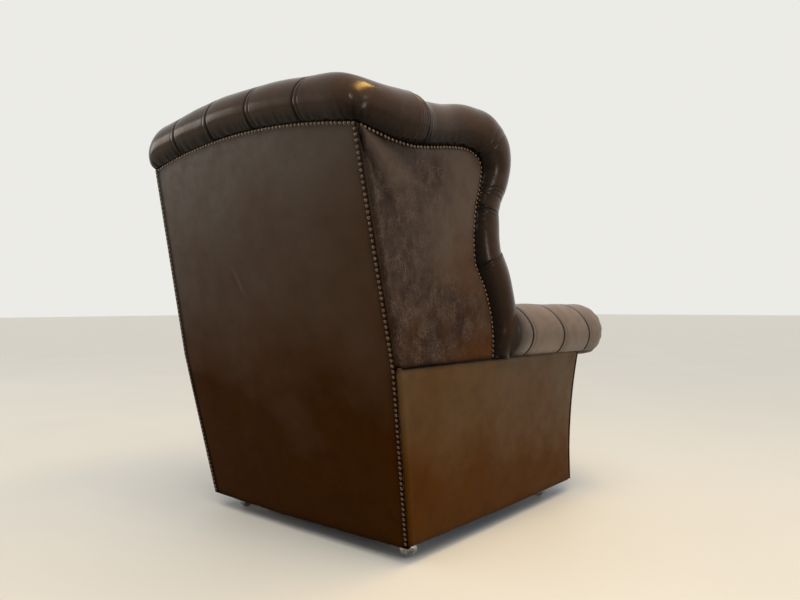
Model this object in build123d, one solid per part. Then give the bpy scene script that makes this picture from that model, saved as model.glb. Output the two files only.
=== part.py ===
"""Chesterfield wing armchair: beech frame, webbing, pleated and buttoned leather upholstery, ball castors.

Millimetres. +Z is up, the sitter faces -Y, and the sitter's right hand is on the -X side.
The origin is on the floor, in the middle of the chair's width and depth.
"""
from build123d import *
import os
from math import sin, cos, tan, radians

os.makedirs("parts", exist_ok=True)

# Overall form
overall_depth = 1062.0
hem_height = 44.0            # floor to the lower edge of the covers
base_depth = 780.0           # back hem to arm facing
cover = 5.0                  # leather with its wadding
big = 4000.0                 # reach of the half spaces that trim a piece
lap = 0.5                    # least clearance between pieces that are not fastened together

# Widths: the covers stand outside the seat by the stuffing and the frame
seat_half = 300.0            # half the width between the inside arms
foot_spread = 60.0           # outer back beyond the seat's half width, at the hem
waist_spread = 92.0          # at the arm seam
shoulder_spread = 75.0       # at the top corners
side_foot_spread = 74.0      # outer arm at the front, at the hem
side_mid_spread = 99.0       # outer arm's seam, at its middle section
side_seam_spread = 104.0     # outer arm's seam, at the front
back_half_foot = seat_half + foot_spread
back_half_waist = seat_half + waist_spread
back_half_shoulder = seat_half + shoulder_spread
side_half_front = seat_half + side_foot_spread
side_half_seam_mid = seat_half + side_mid_spread
side_half_seam_front = seat_half + side_seam_spread

# Back
back_rake = 11.2             # degrees
waist_rise = 402.0           # hem to arm seam, upright
shoulder_rise = 911.0        # hem to the top corner, upright
crest_rise = 37.0            # arch of the top rail over its corners

# Rolls round the back and the wings
roll_radius = 50.0
roll_core_depth = 30.0       # roll centre, inward from the outer cover
roll_core_height = 44.0      # roll centre, out from the nail line
roll_foot = 62.0             # flat underside that sits on the frame's edge
pleat_half = 14.0            # half the width of a pleat's valley
pleat_share = 0.88           # radius left in a pleat
corner_share = 0.84          # radius left at the top back corners
corner_ease = 3.0            # the back cover stops this far under the roll's corner
crest_pleat_pitch = 150.0
crest_turn = 86.0            # from the top corner to the first square section

# Wings
wing_flare = 0.025           # outward run per length forward
wing_reach = 476.0
wing_thick = 28.0            # beech of the wing frame
wing_member = 56.0           # width of the wing rail and post
wing_pad = 29.0              # stuffing under the roll's foot
wing_crown = 20.0            # further swell of the inside wing
wing_crown_inset = 42.0

# Timber
post_wide = 45.0
post_deep = 36.0
post_inset = 2.5             # timber behind the side covers
rail_thick = 28.0
base_rail_high = 80.0
seat_rail_high = 90.0
timber_foot = 4.0            # timber above the hem
seat_rail_top = 325.0
crest_rail_high = 70.0
crest_end_drop = 25.0
post_top_drop = 30.0
front_post_wide = 30.0
front_post_deep = 60.0
corner_block = 88.0
corner_block_high = 60.0
corner_bevel = 46.0

# Arms
seam_height = hem_height + waist_rise
arm_stuffing = 36.0          # inside arm, from its face to the arm board
arm_board_high = 28.0
arm_board_inner = seat_half + arm_stuffing
arm_board_inset = 13.0       # arm board behind the side cover
arm_board_front_inset = 11.0
arm_roll_x = seat_half + 2 * arm_stuffing
arm_roll_radius = 72.0
arm_roll_lift = 68.0         # roll centre above the seam
arm_foot_out = 30.0
arm_foot_in = 42.0
arm_pleat_share = 0.925
arm_tuck = 34.0              # rear end of the arm roll, forward of the wing's nail line and inside its roll
arm_tuck_share = 0.75        # radius left at the rear end
arm_pleat_shares = (0.200, 0.600, 0.930)   # pleats, shares of the roll's length to the facing
arm_scroll_growth = 9.0      # the front of the roll is fuller
arm_scroll_shift = 10.0      # and turned out
# Sections of the scroll end: share of its overhang, of its radius, of the drop under the seam and of the foot
scroll_shares = ((0.20, 1.00, 0.5, 0.85), (0.55, 1.00, 0.8, 0.70), (0.80, 0.93, 0.0, 0.60),
                 (0.94, 0.80, -1.6, 0.50), (1.00, 0.62, -3.0, 0.40))
side_belly = 2.0             # bow of the side cover between hem and seam
front_belly = 12.0
side_mid_share = 0.423       # middle section of the side cover, share of the depth
inside_arm_belly = 8.0
facing_thick = 12.0
facing_step = 2.0            # facing's inner edge, inside the inside arm
facing_gap = 8.0             # facing top below the seam
facing_knee_shares = ((0.60, 0.33), (0.84, 1.00))   # shares of the seam's height and of the belly
facing_inner = seat_half - facing_step

# Seat
webbing = 2.0
web_wide = 60.0
seat_web_count = 7
back_web_count = 5
web_lap = 8.0
platform_high = 35.0
platform_gap = 6.0
platform_half = seat_half - inside_arm_belly - platform_gap
seat_back_reach = 84.0       # cushion's back edge, forward of the back hem
cushion_side_gap = 5.0
cushion_half = platform_half - cushion_side_gap
cushion_high = 118.0
cushion_overhang = 22.0      # cushion's front, beyond the arm facings
cushion_radius = 38.0
cushion_seat_gap = 0.3
# Sections of the cushion: share of its height, and inset as a share of its height
cushion_shares = ((0.00, 0.30), (0.05, 0.10), (0.13, 0.00), (0.42, 0.05), (0.72, 0.00), (0.83, 0.10),
                  (0.91, 0.32), (0.97, 0.75), (1.00, 1.30))
border_half = facing_inner - 2 * lap
lip_radius = 17.0
dust_cover = 1.5
dust_corner_share = 1.3      # cut corners of the dust cover, longer along the sides

# Inside back
pad_half = platform_half     # between the arms
pad_side_gap = 87.0          # above the arms: pad's side, in from the back's side edge
pad_widening = 25.0          # height over which it widens
pad_centre_shares = (0.60, 0.46)     # middle of the inside wing
pad_side = 92.0              # stuffing thickness at the sides
pad_crown_low = 128.0
pad_crown_mid = 136.0
pad_crown_top = 112.0
pad_foot_rise = 292.0        # along the rake, from the hem
pad_mid_rise = 560.0

# Buttons
button_radius = 11.0
button_high = 6.0
button_edge = 2.5
tuft_depth = 16.0            # button's seat below the stuffing's face
tuft_flare = 1.25            # widening of the dimple per depth
back_button_pitch = 138.0
back_button_row = 92.0
back_button_top = 96.0       # first row below the crest
back_button_foot = 46.0      # least space under the last row
wing_button_shares = ((0.34, 0.77), (0.66, 0.82), (0.50, 0.55), (0.68, 0.30))
arm_button_height = 392.0
arm_button_count = 4

# Ball castors
ball_radius = 21.0
ball_trail = 13.0            # ball centre from the swivel axis
ball_tilt = 28.0             # axle below the level, degrees
ball_gap = 1.2               # running gap between hood and wheel
wheel_flat = 15.0            # outer flat of the wheel, from the ball's centre
axle_radius = 2.5
axle_deep = 11.0             # axle's reach into the hood
axle_head = 4.5
axle_head_high = 1.6
running = 0.05               # radial running clearance
stem_radius = 4.0
stem_high = 24.0
socket_wall = 2.5
socket_plate = 2.5
socket_plate_half = 21.0
socket_clear = 0.4
socket_headroom = 5.0
collar_radius = 8.0
castor_side_inset = 66.0     # swivel axis, in from the side cover's front
castor_back_inset = 58.0
castor_front_inset = 92.0
castor_turns = {"back_right": 145.0, "back_left": 180.0, "front_right": 250.0, "front_left": 300.0}

# Places worked out from the sizes above
rake_sin = sin(radians(back_rake))
rake_cos = cos(radians(back_rake))
waist_up = waist_rise / rake_cos
shoulder_up = shoulder_rise / rake_cos
crest_up = shoulder_up + crest_rise
crest_overhang = (crest_up + roll_core_height) * rake_sin - roll_core_depth * rake_cos + roll_radius
back_foot_y = overall_depth / 2 - crest_overhang
facing_y = back_foot_y - base_depth
front_y = facing_y + facing_thick
timber_z = hem_height + timber_foot
castor_x = side_half_front - castor_side_inset
arm_start = wing_reach - shoulder_rise * tan(radians(back_rake)) + arm_tuck
arm_pleats = [arm_start + (base_depth - arm_start) * share for share in arm_pleat_shares]
side_mid_reach = base_depth * side_mid_share
wing_drop = shoulder_rise - waist_rise
wing_lean = (back_half_waist - back_half_shoulder) / wing_drop - wing_flare * tan(radians(back_rake))
platform_top = seat_rail_top + webbing + platform_high

back_plane = Plane(origin=(0, back_foot_y, hem_height), x_dir=(1, 0, 0), z_dir=(0, -rake_cos, rake_sin))
corner_point = Vector(-back_half_shoulder, back_foot_y + shoulder_rise * tan(radians(back_rake)),
                      hem_height + shoulder_rise)
wing_forward = Vector(-wing_flare, -1, 0).normalized()
wing_out = Vector(-1, wing_flare, wing_lean).normalized()
wing_up = wing_out.cross(wing_forward)
wing_plane = Plane(origin=corner_point, x_dir=wing_forward, z_dir=wing_out)

# Nail line of a wing: shares of the reach forward and of the drop from the shoulder to the seam.
# A third value of 1 marks a pleat in the roll.
wing_line_shares = (
    (0.000, 0.000, 0), (0.215, -0.027, 0), (0.365, -0.031, 0), (0.420, -0.025, 1), (0.475, -0.018, 0),
    (0.658, 0.012, 0), (0.788, 0.024, 0), (0.872, 0.010, 0), (0.920, -0.020, 0), (0.935, -0.072, 0),
    (0.912, -0.165, 0), (0.888, -0.218, 0), (0.879, -0.245, 1), (0.871, -0.272, 0), (0.849, -0.400, 0),
    (0.853, -0.515, 0), (0.864, -0.543, 1), (0.880, -0.571, 0), (0.937, -0.650, 0), (0.986, -0.775, 0),
    (1.000, -0.878, 0), (0.992, -1.000, 0),
)


crest_square = back_half_shoulder - crest_turn


def back_half(up):
    """Half width of the back at a height along the rake."""
    if up < waist_up:
        return back_half_foot + (back_half_waist - back_half_foot) * up / waist_up
    share = (up - waist_up) / (shoulder_up - waist_up)
    return back_half_waist + (back_half_shoulder - back_half_waist) * share


def crest_line(x):
    """Height along the rake of the arched top of the back."""
    return shoulder_up + crest_rise * (1 - (x / back_half_shoulder) ** 2)


def slab(plane, points, low, high):
    """A flat-sided piece: an outline in a plane, from one depth to another."""
    corners = [plane.from_local_coords((x, y, low)) for x, y in points]
    face = Face(Wire.make_polygon(corners, close=True))
    return Solid.extrude(face, plane.z_dir * (high - low))


def both(shape):
    """The piece of the right-hand side and its mirror image."""
    return shape, mirror(shape, about=Plane.YZ)


def ahead_of_back(depth):
    """All space further in than a depth behind the outer back."""
    return slab(back_plane, [(-big, -big), (big, -big), (big, big), (-big, big)], depth, big)


def above(height):
    """All space over a level."""
    return slab(Plane.XY, [(-big, -big), (big, -big), (big, big), (-big, big)], height, big)


def disc(radius, low, high):
    """A cylinder about Z between two heights."""
    return Pos(0, 0, low) * Cylinder(radius, high - low, align=(Align.CENTER, Align.CENTER, Align.MIN))


def save(name, *shapes):
    """Write one node: a solid, or a group of solids."""
    solids = [solid for shape in shapes for solid in shape.solids()]
    export_step(solids[0] if len(solids) == 1 else Compound(solids), "parts/" + name + ".step")


def save_sides(name, right_shapes):
    """Write the right-hand node and its mirror image."""
    save(name + "_right", *right_shapes)
    save(name + "_left", *[mirror(shape, about=Plane.YZ) for shape in right_shapes])


def roll_ring(origin, up, out, share=1.0, grow=0.0):
    """One section of the back and wing roll: a flat foot and two arcs over it."""
    reach = roll_radius * share + grow
    foot_out = origin + out * grow
    foot_in = origin - out * (roll_foot + grow)
    side_out = origin + up * roll_core_height + out * (reach - roll_core_depth)
    side_in = origin + up * roll_core_height - out * (reach + roll_core_depth)
    crown = origin + up * (roll_core_height + reach) - out * roll_core_depth
    return Wire([
        Edge.make_three_point_arc(foot_out, side_out, crown),
        Edge.make_three_point_arc(crown, side_in, foot_in),
        Edge.make_line(foot_in, foot_out),
    ])


def corner_ring():
    """The mitred section that the crest roll and a wing roll share, at the right-hand top corner."""
    up = (back_plane.y_dir + wing_up).normalized()
    square = back_plane.from_local_coords((-crest_square, crest_line(crest_square), 0))
    out = (corner_point - square).normalized() - back_plane.z_dir
    return roll_ring(corner_point, up, out, corner_share)


# Crest roll: the stuffed, pleated edge over the top of the back
crest_pleat_places = [crest_pleat_pitch * (index - 1.5) for index in range(4)]
crest_sections = [(-crest_square, 1.0), (crest_square, 1.0)]
for place in crest_pleat_places:
    crest_sections += [(place - pleat_half, 1.0), (place, pleat_share), (place + pleat_half, 1.0)]
crest_sections += [(crest_pleat_pitch * (index - 1), 1.0) for index in range(3)]
crest_sections.sort()
crest_points = [(x, crest_line(x)) for x, share in crest_sections]
crest_rings = []
for x, share in crest_sections:
    origin = back_plane.from_local_coords((x, crest_line(x), 0))
    crest_rings.append(roll_ring(origin, back_plane.y_dir, -back_plane.z_dir, share))
crest_half = [ring for ring, section in zip(crest_rings, crest_sections) if section[0] <= 0]
crest_right = Solid.make_loft([corner_ring(), *crest_half], ruled=True)
crest_roll = crest_right + mirror(crest_right, about=Plane.YZ)
save("crest_roll", crest_roll)


# Wing roll: from the top corner forward, round the front of the wing and down to the arm
wing_points = [(wing_reach * s, wing_drop * t) for s, t, pleat in wing_line_shares]


def wing_roll_solid(grow=0.0):
    """The roll round a wing's edge, swollen by grow for cutting its neighbours."""
    rings = [corner_ring()] if grow == 0 else []
    for index in range(1, len(wing_points)):
        before = wing_points[index - 1]
        after = wing_points[min(index + 1, len(wing_points) - 1)]
        run = Vector(after[0] - before[0], after[1] - before[1], 0).normalized()
        up = wing_plane.x_dir * (-run.Y) + wing_plane.y_dir * run.X
        share = pleat_share if wing_line_shares[index][2] and grow == 0 else 1.0
        origin = wing_plane.from_local_coords((*wing_points[index], 0))
        rings.append(roll_ring(origin, up, wing_out, share, grow))
    return Solid.make_loft(rings, ruled=True)


wing_roll = wing_roll_solid() & above(seam_height)
save_sides("wing_roll", [wing_roll])

# Outer covers of the back and the wings
back_outline = [(-back_half_foot, 0), (back_half_foot, 0), (back_half_waist, waist_up),
                (back_half_shoulder, shoulder_up - corner_ease), *reversed(crest_points),
                (-back_half_shoulder, shoulder_up - corner_ease), (-back_half_waist, waist_up)]
outside_back = slab(back_plane, back_outline, 0, cover)
save("outside_back", outside_back)

wing_outline = [*wing_points, (0, -wing_drop)]
wing_panel = slab(wing_plane, wing_outline, -cover, 0) & ahead_of_back(cover) & above(seam_height)
save_sides("outside_wing", [wing_panel])


def side_ring(y, rear_depth, half_foot, half_seam, belly):
    """A section of the outer arm cover: hem to seam, one cover thick."""
    middle = (hem_height + seam_height) / 2
    half_middle = (half_foot + half_seam) / 2 - belly

    def point(half, height, inward):
        lean = (height - hem_height) * tan(radians(back_rake)) * rear_depth
        return Vector(-(half - inward), y + lean, height)

    return Wire([
        Edge.make_three_point_arc(point(half_foot, hem_height, 0), point(half_middle, middle, 0),
                                  point(half_seam, seam_height, 0)),
        Edge.make_line(point(half_seam, seam_height, 0), point(half_seam, seam_height, cover)),
        Edge.make_three_point_arc(point(half_seam, seam_height, cover), point(half_middle, middle, cover),
                                  point(half_foot, hem_height, cover)),
        Edge.make_line(point(half_foot, hem_height, cover), point(half_foot, hem_height, 0)),
    ])


side_half_mid_foot = (back_half_foot + side_half_front) / 2
outside_arm = Solid.make_loft([
    side_ring(back_foot_y, 1, back_half_foot, back_half_waist, -side_belly),
    side_ring(back_foot_y - side_mid_reach, 0, side_half_mid_foot, side_half_seam_mid, side_belly),
    side_ring(front_y, 0, side_half_front, side_half_seam_front, front_belly),
], ruled=True)
outside_arm = outside_arm & ahead_of_back(cover)
save_sides("outside_arm", [outside_arm])

# Back frame
post_outer_inset = cover + post_inset


def post_edge(up, inward):
    """A point on a line that follows the back's side edge."""
    return (-(back_half(up) - inward), up)


post_top = shoulder_up - post_top_drop
post_levels = (timber_foot, waist_up, post_top)
post_outline = [post_edge(up, post_outer_inset) for up in post_levels]
post_outline += [post_edge(up, post_outer_inset + post_wide) for up in reversed(post_levels)]
back_post = slab(back_plane, post_outline, cover, cover + post_deep)
save_sides("back_post", [back_post])


def back_rail(low, high):
    """A rail between the back posts."""
    inset = post_outer_inset + post_wide
    right = [post_edge(high, inset), post_edge(low, inset)]
    left = [(-x, up) for x, up in reversed(right)]
    return slab(back_plane, [*right, *left], cover, cover + rail_thick)


base_rail_back = back_rail(timber_foot, timber_foot + base_rail_high)
save("base_rail_back", base_rail_back)
lower_rail_top = pad_foot_rise - webbing
lower_back_rail = back_rail(lower_rail_top - seat_rail_high, lower_rail_top)
save("lower_back_rail", lower_back_rail)

crest_foot = post_top - crest_rail_high
crest_end = post_edge(post_top, post_outer_inset + post_wide)[0]
crest_end_low = post_edge(crest_foot, post_outer_inset + post_wide)[0]
crest_shoulder = crest_line(crest_square) - crest_end_drop
crest_outline = [(crest_end_low, crest_foot), (crest_end, post_top), (crest_end, crest_shoulder)]
crest_outline += [*crest_points, (-crest_end, crest_shoulder), (-crest_end, post_top), (-crest_end_low, crest_foot)]
crest_rail = slab(back_plane, crest_outline, cover, cover + post_deep)
save("crest_rail", crest_rail)

# Wing frame: a rail along the top and a post down the front of each wing
frame_front = cover + post_deep
rail_count = 7
rail_top = [(0, -wing_member / 2), *wing_points[1:rail_count]]
rail_foot_end = (wing_points[rail_count - 1][0], wing_points[rail_count - 1][1] - wing_member)
rail_foot = [rail_foot_end, (wing_points[3][0], wing_points[3][1] - wing_member), (0, -2 * wing_member)]
wing_rail = slab(wing_plane, [*rail_top, *rail_foot], -cover - wing_thick, -cover)
wing_rail = wing_rail & ahead_of_back(frame_front)
save_sides("wing_rail", [wing_rail])

post_front = wing_points[rail_count - 1:]
post_front_foot = (post_front[-1][0], -wing_drop - wing_member)
post_back = [(x - wing_member, y) for x, y in reversed(post_front[4:])]
post_back_foot = (post_front[-1][0] - wing_member, -wing_drop - wing_member)
wing_post_outline = [*post_front, post_front_foot, post_back_foot, *post_back, rail_foot_end]
wing_post = slab(wing_plane, wing_post_outline, -cover - wing_thick, -cover) & above(seam_height)
save_sides("wing_post", [wing_post])

# Base and seat frame
front_post_outer = side_half_front - post_outer_inset
front_post_inner = front_post_outer - front_post_wide
front_post_rear = front_y + front_post_deep
front_post = slab(Plane.XY, [(-front_post_outer, front_y), (-front_post_inner, front_y),
                             (-front_post_inner, front_post_rear), (-front_post_outer, front_post_rear)],
                  timber_z, seam_height - arm_board_high)
save_sides("front_post", [front_post])


def side_rail(low, high, outer_back, outer_front):
    """A rail along one side, from the back post to the front post."""
    outline = [(-outer_back, back_foot_y + base_depth), (-outer_back, back_foot_y),
               (-outer_front, front_post_rear), (-outer_front + rail_thick, front_post_rear),
               (-outer_back + rail_thick, back_foot_y), (-outer_back + rail_thick, back_foot_y + base_depth)]
    return slab(Plane.XY, outline, low, high) & ahead_of_back(frame_front)


base_side_rail = side_rail(timber_z, timber_z + base_rail_high, back_half_foot - post_outer_inset,
                           front_post_outer)
save_sides("base_rail", [base_side_rail])
seat_side_rail = side_rail(seat_rail_top - seat_rail_high, seat_rail_top,
                           back_half_foot + side_belly, front_post_outer)
save_sides("seat_rail", [seat_side_rail])


def front_rail(low, high):
    """A rail between the front posts."""
    rear = front_y + rail_thick
    outline = [(-front_post_inner, front_y), (front_post_inner, front_y), (front_post_inner, rear),
               (-front_post_inner, rear)]
    return slab(Plane.XY, outline, low, high)


save("base_rail_front", front_rail(timber_z, timber_z + base_rail_high))
save("seat_rail_front", front_rail(seat_rail_top - seat_rail_high, seat_rail_top))

# Corner blocks that carry the castors
castor_back_y = back_foot_y - castor_back_inset
castor_front_y = front_y + castor_front_inset
socket_radius = stem_radius + running + socket_wall


def block_at(y, toward):
    """A corner block round one castor's socket, bevelled on the inside of the frame."""
    half = corner_block / 2
    outline = [(-half, -half * toward), (half, -half * toward), (half, half * toward - corner_bevel * toward),
               (half - corner_bevel, half * toward), (-half, half * toward)]
    centre = Plane(origin=(-castor_x, y, 0), x_dir=(1, 0, 0), z_dir=(0, 0, 1))
    block = slab(centre, outline, timber_z, timber_z + corner_block_high)
    bore = disc(socket_radius + socket_clear, timber_z, timber_z + stem_high + socket_headroom)
    return block - bore.moved(Location((-castor_x, y, 0)))


frame_solids = [back_post, base_rail_back, base_side_rail, front_post]
rear_block = block_at(castor_back_y, -1)
front_block = block_at(castor_front_y, 1)
for timber in frame_solids:
    rear_block = rear_block - timber
    front_block = front_block - timber
rear_block = rear_block & ahead_of_back(cover + rail_thick)
blocks = [max(block.solids(), key=lambda solid: solid.volume) for block in (rear_block, front_block)]
save("corner_blocks", *[side for block in blocks for side in both(block)])

# Arm boards
arm_board_outer_back = back_half_waist - arm_board_inset
arm_board_outer_front = side_half_seam_mid - arm_board_front_inset
arm_board_outline = [(-arm_board_outer_back, back_foot_y + base_depth), (-arm_board_outer_back, back_foot_y),
                     (-arm_board_outer_front, back_foot_y - side_mid_reach), (-arm_board_outer_front, front_y),
                     (-arm_board_inner, front_y), (-arm_board_inner, back_foot_y + base_depth)]
arm_board = slab(Plane.XY, arm_board_outline, seam_height - arm_board_high, seam_height)
arm_board = arm_board & ahead_of_back(frame_front)
save_sides("arm_board", [arm_board])


# Arm roll: pleated over the top, with a full rounded scroll end at the front
def arm_growth(place):
    """Share of the scroll's fullness that the roll has, forward of the back hem."""
    return max(0.0, (place - arm_pleats[0]) / (base_depth - arm_pleats[0]))


def arm_ring(place, share=1.0, foot_drop=0.0, foot_share=1.0):
    """One section of the arm roll, at a distance forward of the back hem."""
    y = back_foot_y - place
    growth = min(1.0, arm_growth(place))
    radius = (arm_roll_radius + arm_scroll_growth * growth) * share
    shift = arm_scroll_shift * growth
    centre_x = -(arm_roll_x + shift)
    centre_z = seam_height + arm_roll_lift
    foot_z = seam_height - foot_drop
    foot_out = Vector(centre_x - arm_foot_out * foot_share, y, foot_z)
    foot_in = Vector(centre_x + arm_foot_in * foot_share, y, foot_z)
    crown = Vector(centre_x, y, centre_z + radius)
    return Wire([
        Edge.make_three_point_arc(foot_out, Vector(centre_x - radius, y, centre_z), crown),
        Edge.make_three_point_arc(crown, Vector(centre_x + radius, y, centre_z), foot_in),
        Edge.make_line(foot_in, foot_out),
    ])


scroll_place = back_foot_y + overall_depth / 2
facing_place = base_depth + lap
arm_rings = [arm_ring(arm_start, arm_tuck_share)]
for place in arm_pleats:
    arm_rings += [arm_ring(place - pleat_half), arm_ring(place, arm_pleat_share), arm_ring(place + pleat_half)]
arm_rings += [arm_ring(facing_place)]
for run_share, share, drop_share, foot_share in scroll_shares:
    place = facing_place + (scroll_place - facing_place) * run_share
    arm_rings += [arm_ring(place, share, facing_gap * drop_share, foot_share)]
arm_roll = Solid.make_loft(arm_rings, ruled=True) - wing_roll_solid(grow=lap)
arm_roll = max(arm_roll.solids(), key=lambda solid: solid.volume)
save_sides("arm_roll", [arm_roll])

# Arm facing: the padded front of the arm
facing_top = seam_height - facing_gap
facing_outline = [(-side_half_front, hem_height)]
facing_outline += [(-side_half_front - front_belly * out, seam_height * up) for up, out in facing_knee_shares]
facing_outline += [(-side_half_seam_front, facing_top), (-arm_board_inner, facing_top),
                   (-facing_inner, facing_top - lip_radius), (-facing_inner, hem_height)]
facing_plane = Plane(origin=(0, front_y, 0), x_dir=(1, 0, 0), z_dir=(0, -1, 0))
arm_facing = slab(facing_plane, facing_outline, 0, facing_thick)
save_sides("arm_facing", [arm_facing])

# Inside arm: stuffed face of the arm beside the seat
web_top = seat_rail_top + webbing
inside_arm_rear = back_foot_y + base_depth / 2


def inside_arm_ring(y):
    """One section of the inside arm."""
    face_top = Vector(-seat_half, y, seam_height)
    face_foot = Vector(-seat_half, y, web_top)
    face_middle = Vector(-seat_half + inside_arm_belly, y, (seam_height + web_top) / 2)
    rear_top = Vector(-arm_board_inner, y, seam_height)
    rear_foot = Vector(-arm_board_inner, y, web_top)
    return Wire([
        Edge.make_three_point_arc(face_foot, face_middle, face_top),
        Edge.make_line(face_top, rear_top),
        Edge.make_line(rear_top, rear_foot),
        Edge.make_line(rear_foot, face_foot),
    ])


inside_arm = Solid.make_loft([inside_arm_ring(front_y), inside_arm_ring(inside_arm_rear)], ruled=True)
inside_arm = inside_arm & ahead_of_back(frame_front + webbing)


def button_at(place, facing):
    """A covered button, its back at a place and its crown along facing."""
    frame = Plane(origin=place, z_dir=facing)
    button = disc(button_radius, 0, button_high)
    button = chamfer(button.edges().sort_by(Axis.Z)[-1], button_edge)
    return button.moved(frame.location)


def seat_button(pad, face_point, facing):
    """Dimple the pad under a point of its face and seat a button there."""
    seat = face_point - facing * tuft_depth
    floor_radius = button_radius + lap
    dimple = Cone(floor_radius, floor_radius + 2 * tuft_depth * tuft_flare, 2 * tuft_depth,
                  align=(Align.CENTER, Align.CENTER, Align.MIN))
    dimple = dimple.moved(Plane(origin=seat, z_dir=facing).location)
    return pad - dimple, button_at(seat, facing)


arm_buttons = []
arm_button_span = (front_y - back_foot_y) / (arm_button_count + 1)
for index in range(arm_button_count):
    y = back_foot_y + arm_button_span * (index + 1)
    face = Vector(-seat_half + inside_arm_belly, y, arm_button_height)
    inside_arm, button = seat_button(inside_arm, face, Vector(1, 0, 0))
    arm_buttons += both(button)
save_sides("inside_arm", [inside_arm])
save("arm_buttons", *arm_buttons)

# Inside wing: stuffed and buttoned
pad_depth = cover + wing_thick
wing_face = -pad_depth - wing_pad
wing_rake_run = wing_drop * tan(radians(back_rake))
pad_back_run = (frame_front + webbing + lap) / rake_cos
wing_foot_line = [(pad_back_run, wing_points[1][1] - wing_member / 4), *wing_points[2:],
                  (pad_back_run + wing_rake_run, -wing_drop)]
wing_base = slab(wing_plane, wing_foot_line, wing_face, -pad_depth)
wing_base = wing_base & above(seam_height) & ahead_of_back(frame_front + webbing + lap)
pad_centre = (wing_reach * pad_centre_shares[0], -wing_drop * pad_centre_shares[1])


def drawn_in(point, inset):
    """A point of the wing's outline moved towards its middle."""
    run = Vector(pad_centre[0] - point[0], pad_centre[1] - point[1], 0)
    step = run.normalized() * min(inset, run.length / 2)
    return (point[0] + step.X, point[1] + step.Y)


crown_low = [wing_plane.from_local_coords((*drawn_in(p, lap), wing_face)) for p in wing_foot_line]
crown_high = [wing_plane.from_local_coords((*drawn_in(p, wing_crown_inset), wing_face - wing_crown))
              for p in wing_foot_line]
wing_crown_solid = Solid.make_loft([Wire.make_polygon(crown_low, close=True),
                                    Wire.make_polygon(crown_high, close=True)], ruled=True)
inside_wing = (wing_base + wing_crown_solid) & above(seam_height) & ahead_of_back(frame_front + webbing + lap)
wing_buttons = []
for forward, height in wing_button_shares:
    local = (wing_reach * forward, -wing_drop * (1 - height), wing_face - wing_crown)
    face = wing_plane.from_local_coords(local)
    inside_wing, button = seat_button(inside_wing, face, -wing_out)
    wing_buttons += both(button)
save_sides("inside_wing", [inside_wing])
save("wing_buttons", *wing_buttons)

# Webbing across the back and the seat
back_webs = []
web_start = pad_foot_rise + web_lap
web_span = (crest_foot - web_lap - web_wide - web_start) / (back_web_count - 1)
for index in range(back_web_count):
    low = web_start + web_span * index
    half = min(back_half(low), back_half(low + web_wide)) - post_outer_inset - post_wide + web_lap
    web_outline = [(-half, low), (half, low), (half, low + web_wide), (-half, low + web_wide)]
    back_webs.append(slab(back_plane, web_outline, frame_front, frame_front + webbing))
save("back_webbing", *back_webs)

seat_webs = []
seat_web_half = front_post_outer - web_lap
seat_web_span = (base_depth - 2 * web_wide - seat_back_reach) / seat_web_count
for index in range(seat_web_count):
    y = front_post_rear + web_wide / 4 + seat_web_span * index
    web_outline = [(-seat_web_half, y), (seat_web_half, y), (seat_web_half, y + web_wide),
                   (-seat_web_half, y + web_wide)]
    seat_webs.append(slab(Plane.XY, web_outline, seat_rail_top, web_top))
save("seat_webbing", *seat_webs)

# Inside back: crowned, thickest over the small of the back, with diamond buttoning
pad_back = frame_front + webbing


def pad_crown(up):
    """Thickness of the stuffing on the centre line."""
    if up < pad_mid_rise:
        share = (up - pad_foot_rise) / (pad_mid_rise - pad_foot_rise)
        return pad_crown_low + (pad_crown_mid - pad_crown_low) * share
    share = (up - pad_mid_rise) / (crest_up - pad_mid_rise)
    return pad_crown_mid + (pad_crown_top - pad_crown_mid) * share


def pad_reach(up):
    """Half width of the stuffing: over the arms it fills the space between the wings."""
    if waist_up < up <= shoulder_up:
        return back_half(up) - pad_side_gap
    return pad_half


def pad_ring(up):
    """A section of the back stuffing at a height along the rake."""
    half = pad_reach(up)

    def point(x, depth):
        return back_plane.from_local_coords((x, up, pad_back + depth))

    return Wire([
        Edge.make_line(point(-half, 0), point(half, 0)),
        Edge.make_line(point(half, 0), point(half, pad_side - pad_back)),
        Edge.make_three_point_arc(point(half, pad_side - pad_back), point(0, pad_crown(up) - pad_back),
                                  point(-half, pad_side - pad_back)),
        Edge.make_line(point(-half, pad_side - pad_back), point(-half, 0)),
    ])


pad_levels = (pad_foot_rise, waist_up, waist_up + pad_widening, pad_mid_rise, shoulder_up, crest_up)
inside_back = Solid.make_loft([pad_ring(up) for up in pad_levels], ruled=True)
crest_middle = [point for point in crest_points if abs(point[0]) <= crest_square]
pad_shoulder = crest_middle[0][1]
pad_outline = [(-back_half_waist, 0), (back_half_waist, 0), (back_half_waist, pad_shoulder)]
pad_outline += [*reversed(crest_middle), (-back_half_waist, pad_shoulder)]
inside_back = inside_back & slab(back_plane, pad_outline, 0, big)
back_buttons = []
button_height = shoulder_up - back_button_top - pad_foot_rise - back_button_foot
for row in range(int(button_height / back_button_row) + 1):
    up = shoulder_up - back_button_top - back_button_row * row
    count = 3 if row % 2 else 4
    for index in range(count):
        x = back_button_pitch * (index - (count - 1) / 2)
        depth = pad_side + (pad_crown(up) - pad_side) * (1 - (x / pad_reach(up)) ** 2)
        face = back_plane.from_local_coords((x, up, depth))
        inside_back, button = seat_button(inside_back, face, back_plane.z_dir)
        back_buttons.append(button)
save("inside_back", inside_back)
save("back_buttons", *back_buttons)

# Seat platform, front border and dust cover
platform_rear = back_foot_y - seat_back_reach
platform = slab(Plane.XY, [(-platform_half, front_y), (platform_half, front_y), (platform_half, platform_rear),
                           (-platform_half, platform_rear)], web_top, platform_top)
save("seat_platform", platform)

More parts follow.
